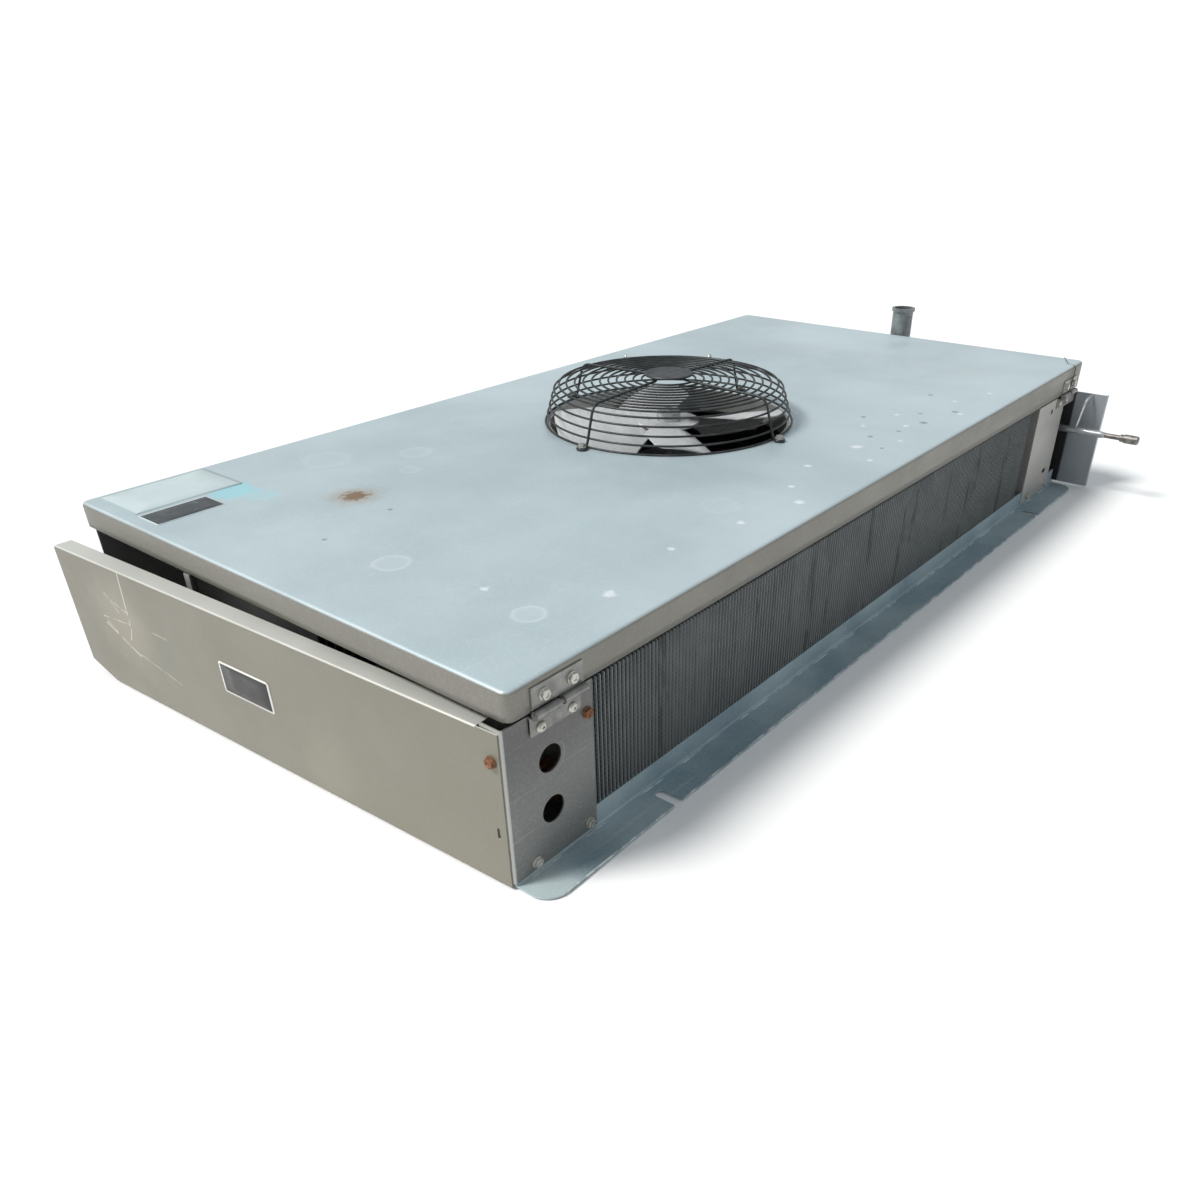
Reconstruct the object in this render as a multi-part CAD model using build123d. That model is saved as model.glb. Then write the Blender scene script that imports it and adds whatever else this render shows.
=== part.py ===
from build123d import *
import os
from math import atan2, cos, degrees, pi, radians, sin

# Walk-in unit cooler with one fan, lying on its ceiling side as it is stored:
# z = 0 is the ceiling plane and +Z points to the drain pan and the fan.
# +X runs along the length from the wiring end to the pipe end, -Y is the coil face.

# Clearances
seat_gap = 0.3  # between pieces of different bodies
pin_clearance = 0.05  # radial, hinge pin and shaft in their running bores
screw_clearance = 0.15  # radial, screw shank in its hole

# Cabinet
cabinet_length = 1078.0
cabinet_depth = 528.0
cabinet_height = 128.5
sheet = 1.2
lip_width = 19.0
near_bay = 85.0  # from the near lip to the near tube sheet
far_bay = 135.0  # from the far lip to the far tube sheet
pipe_cutout_width = 39.0
pipe_cutout_height = 112.0
back_flange = 15.0

# Mounting rails
rail_sheet = 1.5
rail_flange = 31.0
rail_upstand = 20.0
rail_near_inset = 9.0  # the rails stop short of the cabinet's ends
rail_far_inset = 14.0
rail_corner_radius = 18.0
rail_bend_radius = 2.0
slot_width = 10.0
slot_depth = 22.0
slot_spacing = 774.0

# Conduit holes and small holes in the end plates
conduit_radius = 10.6
conduit_heights = (45.0, 87.0)
conduit_from_lip = 41.5
knockout_ring_radius = 17.0
knockout_ring_height = 0.8

# Coil
fin_pitch = 4.233
fin_thickness = 0.3
fin_depth = 66.0
fin_height = 106.7
fin_face_setback = 0.5
coil_far_margin = 26.0  # bare tube between the last fin and the far tube sheet
coil_near_margin = 1.0
tube_radius = 4.76
tube_rows = 2
tubes_per_row = 4
tube_pitch = 25.4
row_pitch = 22.0
tube_end_stub = 9.0

# Drain pan
pan_length = 1070.0
pan_width = 535.0
pan_skirt = 22.0  # at the near end
pan_rise = 10.0  # the pan is this much deeper at the drain end
pan_sheet = 1.2
pan_corner_radius = 7.0
pan_rim_radius = 2.5
pan_lift = 4.5  # between the cabinet's top edge and the pan's skirt

# Drain fitting
drain_offset_y = 7.0
drain_radius = 14.5
drain_wall = 2.0
drain_lip = 2.0
drain_lip_height = 4.0
drain_reach = 20.0
drain_height = 34.0  # above the pan
drain_nipple_radius = 11.0
drain_socket = 30.0  # depth of the wide bore that takes the drain line
drain_bore = 10.0

# Fan, in a frame that stands on the sloping pan
fan_x = -12.0
fan_y = 9.0
fan_radius = 125.0
fan_blade_count = 4
blade_chord = 92.0
blade_sheet = 1.5
blade_pitch = 24.0
blade_camber_radius = 95.0
blade_root = 22.0
blade_root_width = 30.0
blade_shoulder = 0.52  # share of the radius at which a blade reaches its full width
blade_corner_radius = 16.0
blade_level = -3.0
spider_radius = 34.0
spider_sheet = 2.5
hub_radius = 13.0
hub_length = 20.0
shaft_radius = 4.0
venturi_radius = 130.0
venturi_depth = 28.0
venturi_flange = 16.0
venturi_sheet = 1.0
pan_hole_radius = 132.0
motor_radius = 42.0
motor_length = 56.0
motor_edge = 6.0
motor_boss_radius = 16.0
motor_boss_height = 5.0
mount_level = -42.0
mount_sheet = 1.5
mount_plate_radius = 30.0
mount_strap_width = 16.0
mount_strap_count = 3

# Fan guard
guard_radius = 135.0
guard_height = 42.0
guard_shoulder_radius = 122.0
guard_shoulder_bend = 14.0
guard_wire = 1.1  # half the thickness of a ring's wire
rib_wire = 1.6  # radius of a rib's wire
weld_depth = 0.2  # how far the welds sink the rings into the ribs
weld_gap = guard_wire + rib_wire - weld_depth
guard_ring_count = 15
guard_inner_gap = 8.0  # from the badge's rim to the innermost ring
guard_crown = 3.0  # rise of the flat top towards the middle
rib_count = 4
foot_radius = 143.0
eyelet_radius = 6.2
eyelet_height = 3.2
badge_radius = 26.0
badge_overlap = 4.0  # how far the ribs reach under the badge
badge_thickness = 2.0

# Hinges
hinge_width = 48.0
hinge_from_end = 24.0
knuckle_gap = 4.0
knuckle_radius = 3.1
hinge_pin_radius = 1.6
leaf_sheet = 1.2
upper_leaf_height = 17.0
lower_leaf_height = 13.0
leaf_screw_spacing = 26.0

# Screws
screw_radius = 2.0
screw_length = 9.0
screw_head_radius = 3.6
screw_head_height = 3.0
screw_flange_radius = 4.6
screw_flange_height = 0.8
rivet_radius = 1.9
rivet_head_radius = 3.4
rivet_head_height = 1.2

# End covers
cover_height = 125.0
cover_bottom = 1.0
cover_length = 518.0
cover_inset = 8.0  # from the front face to the cover's front end
cover_flange = 16.0
cover_chamfer_length = 33.0
cover_chamfer_height = 13.0
cover_swing = 3.2  # the near cover has sprung outwards about its one screw
cover_screw_inset = 6.9
cover_screw_height = 98.0
cover_lost_screw_height = 38.0
far_cover_reach = 43.0  # the far cover guards the pipes in front of the face

# Pipes
liquid_radius = 3.2
liquid_from_end = 24.0
liquid_z = 80.0
liquid_reach = 82.0  # in front of the face, to the cap
liquid_cap_radius = 5.6
liquid_cap_length = 18.0
header_radius = 9.5
header_gap = 26.0  # from the far tube sheet to the header's axis
distributor_radius = 8.0
distributor_length = 26.0
feeder_radius = 1.6

# Terminal block in the wiring bay
block_length = 60.0
block_depth = 18.0
block_height = 22.0

half_length = cabinet_length / 2
liquid_x = half_length - liquid_from_end
half_depth = cabinet_depth / 2
front = -half_depth
pan_skirt_level = cabinet_height + pan_lift
pan_tilt = degrees(atan2(pan_rise, pan_length))
pan_front = -pan_width / 2
near_sheet_x = -half_length + near_bay
far_sheet_x = half_length - far_bay
upstand_outer = half_depth - sheet
upstand_inner = upstand_outer - rail_sheet
coil_front = front + fin_face_setback
fin_bottom = rail_upstand + seat_gap
plate_bottom = rail_sheet + rail_bend_radius + seat_gap
distributor_back = coil_front + fin_depth / 2 + distributor_length
hinge_axis_z = cabinet_height + pan_lift / 2
hinge_axis_y = pan_front - knuckle_radius


rail_near_end = -half_length + rail_near_inset
rail_far_end = half_length - rail_far_inset


def pan_top(x):
    """Height of the pan's outer surface at x."""
    return pan_skirt_level + pan_skirt + pan_rise * (x + pan_length / 2) / pan_length


fan_place = Location((fan_x, fan_y, pan_top(fan_x)), (0, -pan_tilt, 0))


def block(x0, x1, y0, y1, z0, z1):
    """A box between two corners."""
    size = (x1 - x0, y1 - y0, z1 - z0)
    middle = ((x0 + x1) / 2, (y0 + y1) / 2, (z0 + z1) / 2)
    return Pos(*middle) * Box(*size)


def rod(start, direction, radius, length):
    """A round bar from a point along a direction."""
    plane = Plane(origin=start, z_dir=direction)
    return plane * extrude(Circle(radius), length)


def ring(inner, outer, z0, z1):
    """A flat ring about the Z axis."""
    return Pos(0, 0, z0) * extrude(Circle(outer) - Circle(inner), z1 - z0)


def screw():
    """Hex washer-head screw along +Z, with the seat of its head at z = 0."""
    flange = extrude(Circle(screw_flange_radius), screw_flange_height)
    hexagon = extrude(RegularPolygon(screw_head_radius, 6), screw_head_height)
    shank = Pos(0, 0, -screw_length) * extrude(Circle(screw_radius), screw_length + screw_flange_height)
    return flange + hexagon + shank


def rivet():
    """Dome-head rivet along +Z, with the seat of its head at z = 0."""
    body = Pos(0, 0, -2 * leaf_sheet) * extrude(Circle(rivet_radius), 2 * leaf_sheet)
    head = extrude(Circle(rivet_head_radius), rivet_head_height, taper=35)
    return body + head


def facing_front(x, y, z):
    """Place something that points along +Z so that it points out of the front."""
    return Location(Plane(origin=(x, y, z), z_dir=(0, -1, 0)))


def make_rail(side):
    """Ceiling rail on one side: side is -1 at the front and +1 at the back."""
    outer = upstand_outer
    profile = Polyline(
        (outer - rail_sheet, 0), (outer + rail_flange, 0), (outer + rail_flange, rail_sheet),
        (outer, rail_sheet), (outer, rail_upstand), (outer - rail_sheet, rail_upstand), close=True,
    )
    face = make_face(Plane.YZ * profile)
    rail = Pos(rail_near_end, 0, 0) * extrude(face, rail_far_end - rail_near_end, dir=(1, 0, 0))
    inner_corner = rail.edges().filter_by(Axis.X).sort_by_distance((0, outer, rail_sheet))[0]
    rail = fillet(inner_corner, rail_bend_radius)
    corners = [e for e in rail.edges().filter_by(Axis.Z) if e.center().Y > outer + rail_flange - 1]
    rail = fillet(corners, rail_corner_radius)
    slot = Pos(0, outer + rail_flange - slot_depth + slot_width / 2, -1) * extrude(
        Circle(slot_width / 2), rail_sheet + 2
    )
    slot += block(-slot_width / 2, slot_width / 2, outer + rail_flange - slot_depth + slot_width / 2,
                  outer + rail_flange + 1, -1, rail_sheet + 1)
    for x in (-slot_spacing / 2, slot_spacing / 2):
        rail -= Pos(x, 0, 0) * slot
    if side < 0:
        rail = mirror(rail, about=Plane.XZ)
    for x, z in plate_screw_points(side):
        rail -= rod((x, side * (outer - rail_sheet - 1), z), (0, side, 0),
                    screw_radius + screw_clearance, rail_sheet + 2)
    return rail


def plate_screw_points(side):
    """Screws that hold the end plates, or the back panel, to a rail's upstand."""
    if side < 0:
        xs = (-half_length + 22, near_sheet_x - 8, far_sheet_x + 20, far_sheet_x + 86)
    else:
        xs = (rail_near_end + 40, rail_far_end - 40)
    return [(x, rail_upstand / 2) for x in xs]


def tube_points():
    """Places of the coil's tubes in Y and Z, row by row, staggered by half a pitch."""
    first = fin_bottom + (fin_height - (tubes_per_row - 0.5) * tube_pitch) / 2
    points = []
    for row in range(tube_rows):
        y = coil_front + fin_depth / 2 + (row - (tube_rows - 1) / 2) * row_pitch
        for step in range(tubes_per_row):
            points.append((y, first + tube_pitch * (step + (row % 2) / 2 + 0.25) - tube_pitch / 4))
    return points


def tube_sheet(x):
    """Full-depth partition that carries the coil's tubes, notched over the rails."""
    panel = block(x - sheet, x, front + sheet, upstand_inner, sheet, cabinet_height)
    notch = rail_upstand + seat_gap
    panel -= block(x - sheet - 1, x + 1, front - 1, -upstand_inner + seat_gap, 0, notch)
    panel -= block(x - sheet - 1, x + 1, upstand_inner - seat_gap, upstand_inner + 1, 0, notch)
    for y, z in tube_points():
        panel -= rod((x - sheet - 1, y, z), (1, 0, 0), tube_radius, sheet + 2)
    return panel


def make_near_end_plate():
    """Front of the wiring bay with its lip and conduit holes."""
    left = -half_length
    bottom = plate_bottom
    plate = block(left, near_sheet_x, front, front + sheet, bottom, cabinet_height)
    plate += block(left, left + sheet, front, front + lip_width, bottom, cabinet_height)
    hole_x = left + conduit_from_lip
    for z in conduit_heights:
        plate -= rod((hole_x, front - 1, z), (0, 1, 0), conduit_radius, sheet + 2)
    emboss = extrude(Circle(knockout_ring_radius) - Circle(conduit_radius + 2), knockout_ring_height)
    plate += facing_front(hole_x, front, conduit_heights[-1]) * emboss
    plate -= cover_screw_holes()
    return plate


def make_far_end_plate():
    """Front flange of the pipe bay: the pipes leave through its tall cut-out."""
    right = half_length
    bottom = plate_bottom
    plate = block(far_sheet_x - sheet, right, front, front + sheet, bottom, cabinet_height)
    plate += block(right - sheet, right, front, front + lip_width, pipe_cutout_height, cabinet_height)
    plate -= block(right - pipe_cutout_width, right + 1, front - 1, front + sheet + 1,
                   0, pipe_cutout_height)
    plate -= rod((far_sheet_x + 50, front - 1, pipe_cutout_height + 2), (0, 1, 0), 3.5, sheet + 2)
    slot = SlotOverall(14, 6, rotation=90)
    plate -= facing_front(far_sheet_x + 72, front - 1, 31) * extrude(slot, -sheet - 2)
    return plate


def cover_screw_holes():
    """Clearance holes through the near lip for the cover's two screws."""
    y = front + cover_inset + cover_screw_inset
    holes = []
    for z in (cover_screw_height, cover_lost_screw_height):
        holes.append(rod((-half_length - 1, y, z), (1, 0, 0), screw_radius + 2 * screw_clearance, sheet + 2))
    return holes[0] + holes[1]


def front_screw_holes(points, y, depth):
    """Clearance holes for screws that enter from the front."""
    holes = [rod((x, y, z), (0, 1, 0), screw_radius + screw_clearance, depth) for x, z in points]
    return Part() + holes


def make_back_panel():
    """Plain back with an inward flange under the pan's skirt."""
    panel = block(rail_near_end, rail_far_end, upstand_outer, half_depth, plate_bottom,
                  pan_skirt_level - seat_gap)
    flange_top = pan_skirt_level - seat_gap
    panel += block(rail_near_end, rail_far_end, half_depth - back_flange, half_depth,
                   flange_top - sheet, flange_top)
    for x, z in plate_screw_points(1):
        panel -= rod((x, half_depth + 1, z), (0, -1, 0), screw_radius + screw_clearance, sheet + 2)
    return panel


def make_pan_solid(shrink, top_drop):
    """The pan's outer form, made smaller all round by shrink and lower by top_drop."""
    plan = RectangleRounded(pan_length - 2 * shrink, pan_width - 2 * shrink, pan_corner_radius - shrink)
    tall = Pos(0, 0, pan_skirt_level) * extrude(plan, pan_skirt + pan_rise + 10)
    half = pan_length / 2 + 1
    low = pan_skirt_level - 1
    wedge = Polyline(
        (-half, low), (half, low), (half, pan_top(half) - top_drop), (-half, pan_top(-half) - top_drop),
        close=True,
    )
    keep = extrude(make_face(Plane.XZ * wedge), pan_width / 2 + 5, both=True)
    return tall & keep


def make_drain_pan():
    """Sloping tray with a rounded rim, a skirt all round and the fan's hole."""
    outer = make_pan_solid(0, 0)
    rim = outer.edges().filter_by(lambda e: e.center().Z > pan_skirt_level + pan_skirt - 1)
    rim = [e for e in rim if e.bounding_box().size.Z < pan_rise + 1]
    outer = fillet(rim, pan_rim_radius)
    inner = make_pan_solid(pan_sheet, pan_sheet)
    inner += Pos(0, 0, -5) * (make_pan_solid(pan_sheet, pan_skirt))
    pan = outer - inner
    hole = Pos(0, 0, -20) * extrude(Circle(pan_hole_radius), 40)
    pan -= fan_place * hole
    nipple = rod((pan_length / 2 - 10, drain_offset_y, drain_axis_z()), (1, 0, 0),
                 drain_nipple_radius - drain_wall, 20)
    pan -= nipple
    for x, z in leaf_screw_points(1):
        pan -= rod((x, pan_front - 1, z), (0, 1, 0), rivet_radius + screw_clearance, pan_sheet + 2)
    for x, y in guard_feet():
        pan -= fan_place * Pos(x, y, -screw_length) * extrude(
            Circle(screw_radius + screw_clearance), 2 * screw_length)
    return pan


def drain_axis_z():
    """Height of the short pipe through the far skirt into the drain elbow."""
    return pan_skirt_level + (pan_skirt + pan_rise) / 2


def make_drain_fitting():
    """Elbow on the far skirt whose open spigot stands up beside the pan's edge."""
    x = pan_length / 2 + drain_reach
    top = pan_top(pan_length / 2) + drain_height
    low = drain_axis_z() - drain_radius
    body = Pos(x, drain_offset_y, low) * extrude(Circle(drain_radius), top - low)
    body += Pos(x, drain_offset_y, top - drain_lip_height) * extrude(
        Circle(drain_radius + drain_lip), drain_lip_height)
    body += rod((pan_length / 2, drain_offset_y, drain_axis_z()), (1, 0, 0),
                drain_nipple_radius, drain_reach)
    body -= Pos(x, drain_offset_y, top - drain_socket) * extrude(Circle(drain_radius - drain_wall), top)
    body -= Pos(x, drain_offset_y, low + drain_wall) * extrude(Circle(drain_bore), top)
    body -= rod((pan_length / 2 - 1, drain_offset_y, drain_axis_z()), (1, 0, 0),
                drain_nipple_radius - drain_wall, drain_reach + 1)
    return body


def guard_feet():
    """Places of the guard's eyelets about the fan's axis."""
    turns = [2 * pi * k / rib_count for k in range(rib_count)]
    return [(foot_radius * cos(a), foot_radius * sin(a)) for a in turns]


def wire_ring(radius, z):
    """One guard ring of square wire, centred on a radius and a height."""
    w = guard_wire
    return ring(radius - w, radius + w, z - w, z + w)


def rib_line():
    """Centre line of a rib in radius and height: leaning side, round shoulder, crowned top."""
    return FilletPolyline(
        (guard_radius + weld_gap, 0.2),
        (guard_shoulder_radius + weld_gap, guard_height),
        (badge_radius - badge_overlap, guard_height + guard_crown),
        radius=guard_shoulder_bend,
    )


def make_guard_rings():
    """Rings welded inside the ribs at even steps from the base to the badge."""
    line = rib_line()
    first = guard_wire / line.length
    last = 1 - (guard_inner_gap + badge_overlap) / line.length
    rings = []
    for k in range(guard_ring_count):
        share = first + (last - first) * k / (guard_ring_count - 1)
        spot = line @ share
        along = line % share
        x = spot.X - abs(along.Y) * weld_gap
        z = spot.Y - abs(along.X) * weld_gap
        rings.append(wire_ring(x, max(z, guard_wire)))
    return [fan_place * r for r in rings]


def make_guard_ribs():
    """Ribs bent over the shoulder, each with an eyelet under its screw."""
    path = rib_line()
    section = Plane(origin=path @ 0, z_dir=path % 0) * RegularPolygon(rib_wire, 6)
    rib = sweep(section, path=path)
    rib = Plane.XZ * rib
    eye = ring(screw_radius + screw_clearance, eyelet_radius, 0, eyelet_height)
    rib += Pos(foot_radius, 0, 0) * eye
    rib -= Pos(foot_radius, 0, -1) * extrude(Circle(screw_radius + screw_clearance), eyelet_height + 2)
    ribs = []
    for k in range(rib_count):
        ribs.append(fan_place * (Rot(0, 0, 360 * k / rib_count) * rib))
    return ribs


def make_badge():
    """Blank disc on the middle of the guard."""
    low = guard_height + guard_crown + rib_wire - 0.2
    disc = Pos(0, 0, low) * extrude(Circle(badge_radius), badge_thickness)
    disc = chamfer(disc.edges().filter_by(GeomType.CIRCLE).sort_by(Axis.Z)[-1], 0.8)
    return fan_place * disc


def make_venturi():
    """Ring under the pan's hole that guides the air past the blade tips."""
    r = venturi_radius
    s = venturi_sheet
    top = -pan_sheet
    low = -venturi_depth
    profile = Polyline(
        (r, top), (r + venturi_flange, top), (r + venturi_flange, top - s), (r + s, top - s),
        (r + s, low + 4), (r + 4 + s, low), (r + 4, low), (r, low + 4), close=True,
    )
    body = revolve(make_face(Plane.XZ * profile), Axis.Z)
    for x, y in guard_feet():
        body -= Pos(x, y, -screw_length) * extrude(Circle(screw_radius + screw_clearance), 2 * screw_length)
    return fan_place * body


def make_blade():
    """One cambered blade along +X, pitched about its own radius."""
    half = blade_chord / 2
    low = blade_camber_radius - (blade_camber_radius ** 2 - half ** 2) ** 0.5
    mid = ThreePointArc((-half, 0), (0, low), (half, 0))
    under = ThreePointArc((half, -blade_sheet), (0, low - blade_sheet), (-half, -blade_sheet))
    outline = mid + Line((half, 0), (half, -blade_sheet)) + under + Line((-half, -blade_sheet), (-half, 0))
    strip = extrude(make_face(Plane.YZ * outline), fan_radius, dir=(1, 0, 0))
    strip = Rot(blade_pitch, 0, 0) * Pos(0, 0, blade_sheet / 2 - low) * strip
    wide = fan_radius * blade_shoulder
    planform = make_face(Polyline(
        (blade_root, -blade_root_width / 2), (wide, -half), (fan_radius, -half), (fan_radius, half),
        (wide, half), (blade_root, blade_root_width / 2), close=True,
    ))
    tip = fillet((planform & Circle(fan_radius)).vertices().sort_by(Axis.X)[-2:], blade_corner_radius)
    trim = Pos(0, 0, -60) * extrude(tip, 120)
    return strip & trim


def make_fan_blades():
    """Blades on a cross-shaped spider."""
    blade = Pos(0, 0, blade_level) * make_blade()
    spider = Pos(0, 0, blade_level - spider_sheet / 2) * extrude(
        Circle(spider_radius) - Circle(hub_radius), spider_sheet)
    wheel = spider
    for k in range(fan_blade_count):
        wheel += Rot(0, 0, 45 + 360 * k / fan_blade_count) * blade
    wheel -= Pos(0, 0, -60) * extrude(Circle(hub_radius), 120)
    return fan_place * wheel


def make_fan_hub():
    """Hub pressed into the spider, with its shaft down into the motor."""
    hub = Pos(0, 0, blade_level - hub_length / 2) * extrude(Circle(hub_radius), hub_length)
    low = mount_level - mount_sheet - motor_boss_height
    shaft = Pos(0, 0, low) * extrude(Circle(shaft_radius), blade_level + hub_length / 2 + 5 - low)
    return fan_place * (hub + shaft)


def make_motor():
    """Closed motor shell with a boss and a bore around the shaft."""
    top = mount_level - mount_sheet
    shell = Pos(0, 0, top - motor_length) * extrude(Circle(motor_radius), motor_length)
    shell = chamfer(shell.edges().filter_by(GeomType.CIRCLE), motor_edge)
    shell += Pos(0, 0, top - motor_length - motor_boss_height) * extrude(
        Circle(motor_boss_radius), motor_boss_height + 1)
    shell -= Pos(0, 0, top - motor_boss_height - 1) * extrude(
        Circle(shaft_radius + pin_clearance), motor_boss_height + 2)
    return fan_place * shell


def make_motor_mount():
    """Plate on the motor with straps out and up to the venturi's flange."""
    plate = Pos(0, 0, mount_level - mount_sheet) * extrude(
        Circle(mount_plate_radius) - Circle(shaft_radius + 4), mount_sheet)
    out = venturi_radius + venturi_sheet + 6
    top = -pan_sheet - venturi_sheet
    t = mount_sheet
    outline = Polyline(
        (mount_plate_radius - 6, mount_level - t), (out + t, mount_level - t), (out + t, top - t),
        (out + 9, top - t), (out + 9, top), (out, top), (out, mount_level),
        (mount_plate_radius - 6, mount_level), close=True,
    )
    strap = extrude(make_face(Plane.XZ * outline), mount_strap_width / 2, both=True)
    mount = plate
    for k in range(mount_strap_count):
        mount += Rot(0, 0, 45 + 360 * k / mount_strap_count) * strap
    return fan_place * mount


def hinge_middles():
    """Middle of each hinge along the length: near and far."""
    reach = half_length - hinge_from_end - hinge_width / 2
    return (-reach, reach)


def leaf_screw_points(level):
    """Fastener places of both hinges: level 1 on the pan's skirt, -1 on the end plates."""
    z = hinge_axis_z + (11 if level > 0 else -10)
    half = leaf_screw_spacing / 2
    return [(x + s * half, z) for x in hinge_middles() for s in (-1, 1)]


def knuckle(x0, x1):
    """Barrel of a leaf between two places along the length, before its bore."""
    return rod((x0, hinge_axis_y, hinge_axis_z), (1, 0, 0), knuckle_radius, x1 - x0)


def make_upper_leaf(middle):
    """Leaf on the pan's skirt, with its knuckle on the right half."""
    x0 = middle - hinge_width / 2
    x1 = middle + hinge_width / 2
    split = middle + knuckle_gap / 2
    face = pan_front
    low = hinge_axis_z + knuckle_radius + seat_gap
    leaf = block(x0, x1, face - leaf_sheet, face, low, pan_skirt_level + upper_leaf_height)
    leaf += block(split, x1, face - leaf_sheet, face, hinge_axis_z, low)
    leaf += knuckle(split, x1)
    leaf -= rod((split - 1, hinge_axis_y, hinge_axis_z), (1, 0, 0),
                hinge_pin_radius + pin_clearance, x1 - split + 2)
    for x, z in leaf_screw_points(1):
        leaf -= rod((x, face - leaf_sheet - 1, z), (0, 1, 0), rivet_radius + screw_clearance, leaf_sheet + 1)
    return leaf


def make_lower_leaf(middle):
    """Leaf on an end plate, stepped out to its knuckle on the left half."""
    x0 = middle - hinge_width / 2
    x1 = middle + hinge_width / 2
    split = middle - knuckle_gap / 2
    top = hinge_axis_z - knuckle_radius + leaf_sheet / 2
    leaf = block(x0, x1, front - leaf_sheet, front, top - lower_leaf_height, top)
    leaf += block(x0, split, hinge_axis_y, front, top - leaf_sheet, top)
    leaf += knuckle(x0, split)
    leaf -= rod((x0 - 1, hinge_axis_y, hinge_axis_z), (1, 0, 0), hinge_pin_radius, split - x0 + 2)
    for x, z in leaf_screw_points(-1):
        leaf -= rod((x, front - leaf_sheet - 1, z), (0, 1, 0), screw_radius + screw_clearance, leaf_sheet + 1)
    return leaf


def make_hinge_pins():
    """Loose pins, pressed into the lower leaves."""
    pins = []
    for middle in hinge_middles():
        start = (middle - hinge_width / 2 - 1, hinge_axis_y, hinge_axis_z)
        pins.append(rod(start, (1, 0, 0), hinge_pin_radius, hinge_width + 2))
    return pins


def make_near_cover():
    """Sprung end cover: a face with a chamfered corner and two inward flanges."""
    top = cover_bottom + cover_height
    outline = Polyline(
        (0, cover_bottom), (cover_length - cover_chamfer_length, cover_bottom),
        (cover_length, cover_bottom + cover_chamfer_height), (cover_length, top), (0, top), close=True,
    )
    face = extrude(make_face(Plane.YZ * outline), sheet, dir=(-1, 0, 0))
    face += block(-sheet, cover_flange - sheet, 14, cover_length, top - sheet, top)
    face += block(-sheet, cover_flange - sheet, cover_length - sheet, cover_length,
                  cover_bottom + cover_chamfer_height, top)
    for z in (cover_screw_height, cover_lost_screw_height):
        face -= rod((-sheet - 1, cover_screw_inset, z), (1, 0, 0), screw_radius + 2 * screw_clearance,
                    sheet + 2)
    slit = screw_radius
    face -= block(-sheet - 1, 1, -1, cover_screw_inset, cover_lost_screw_height - slit,
                  cover_lost_screw_height + slit)
    return near_cover_place() * face


def near_cover_place():
    """Where the near cover's front end rests on the lip, with its swing."""
    return Location((-half_length - 0.05, front + cover_inset, 0), (0, 0, cover_swing))


def make_far_cover():
    """Far end cover, longer at the front, where it guards the pipes."""
    x = half_length + 0.05
    y0 = front - far_cover_reach
    y1 = front + cover_inset + cover_length
    top = cover_bottom + cover_height - 2
    cover = block(x, x + sheet, y0, y1, cover_bottom, top)
    cover += block(x + sheet - cover_flange, x + sheet, front + 34, y1, top - sheet, top)
    cover += block(x, x + sheet + 5, y0, y0 + sheet, cover_bottom, top)
    for z in far_cover_screw_heights():
        cover -= rod((x - 1, front + lip_width / 2, z), (1, 0, 0), screw_radius + screw_clearance, sheet + 2)
    return cover


def far_cover_screw_heights():
    """Height of the screw that holds the far cover to the stub of lip above the cut-out."""
    return (pipe_cutout_height + 7,)


def make_fins():
    """Flat fins, side by side between the tube sheets."""
    start = near_sheet_x + coil_near_margin
    end = far_sheet_x - sheet - coil_far_margin
    count = int((end - start - fin_thickness) / fin_pitch) + 1
    fin = Box(fin_thickness, fin_depth, fin_height, align=(Align.MIN, Align.MIN, Align.MIN))
    return [Pos(start + k * fin_pitch, coil_front, fin_bottom) * fin for k in range(count)]


def make_coil_tubes():
    """Straight tubes through both tube sheets."""
    start = near_sheet_x - sheet - tube_end_stub
    length = far_sheet_x + tube_end_stub - start
    return [rod((start, y, z), (1, 0, 0), tube_radius, length) for y, z in tube_points()]


def make_bend(a, b, x, out):
    """Half-round bend between two tube ends at x, bulging towards out."""
    (ya, za), (yb, zb) = a, b
    mid = Vector(x, (ya + yb) / 2, (za + zb) / 2)
    across = Vector(0, yb - ya, zb - za)
    radius = across.length / 2
    plane = Plane(origin=mid, x_dir=across.normalized(), z_dir=across.cross(Vector(out, 0, 0)).normalized())
    arc = ThreePointArc((-radius, 0), (0, radius), (radius, 0))
    path = plane * arc
    section = Plane(origin=path @ 0, z_dir=path % 0) * RegularPolygon(tube_radius, 8)
    return sweep(section, path=path)


def make_return_bends(end):
    """Return bends of one end: near bends join pairs, far bends join the pairs in series."""
    points = tube_points()
    rows = [points[r * tubes_per_row:(r + 1) * tubes_per_row] for r in range(tube_rows)]
    bends = []
    if end < 0:
        x = near_sheet_x - sheet - tube_end_stub
        for row in rows:
            for k in range(0, tubes_per_row - 1, 2):
                bends.append(make_bend(row[k], row[k + 1], x, -1))
    else:
        x = far_sheet_x + tube_end_stub
        for row in rows:
            for k in range(1, tubes_per_row - 1, 2):
                bends.append(make_bend(row[k], row[k + 1], x, 1))
    return bends


def make_suction_header():
    """Upright header beside the top tube of each row, closed at both ends."""
    top_tubes = [tube_points()[r * tubes_per_row + tubes_per_row - 1] for r in range(tube_rows)]
    x = far_sheet_x + header_gap + tube_end_stub
    y = sum(p[0] for p in top_tubes) / tube_rows
    low = min(p[1] for p in top_tubes) - 45
    high = max(p[1] for p in top_tubes) + header_radius
    body = Pos(x, y, low) * extrude(Circle(header_radius), high - low)
    body = chamfer(body.edges().filter_by(GeomType.CIRCLE), 3)
    for ty, tz in top_tubes:
        run = x - far_sheet_x - tube_end_stub
        body += Pos(far_sheet_x + tube_end_stub, ty, tz) * extrude(
            Plane.YZ * Circle(tube_radius), run, dir=(1, 0, 0))
    return body


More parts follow.
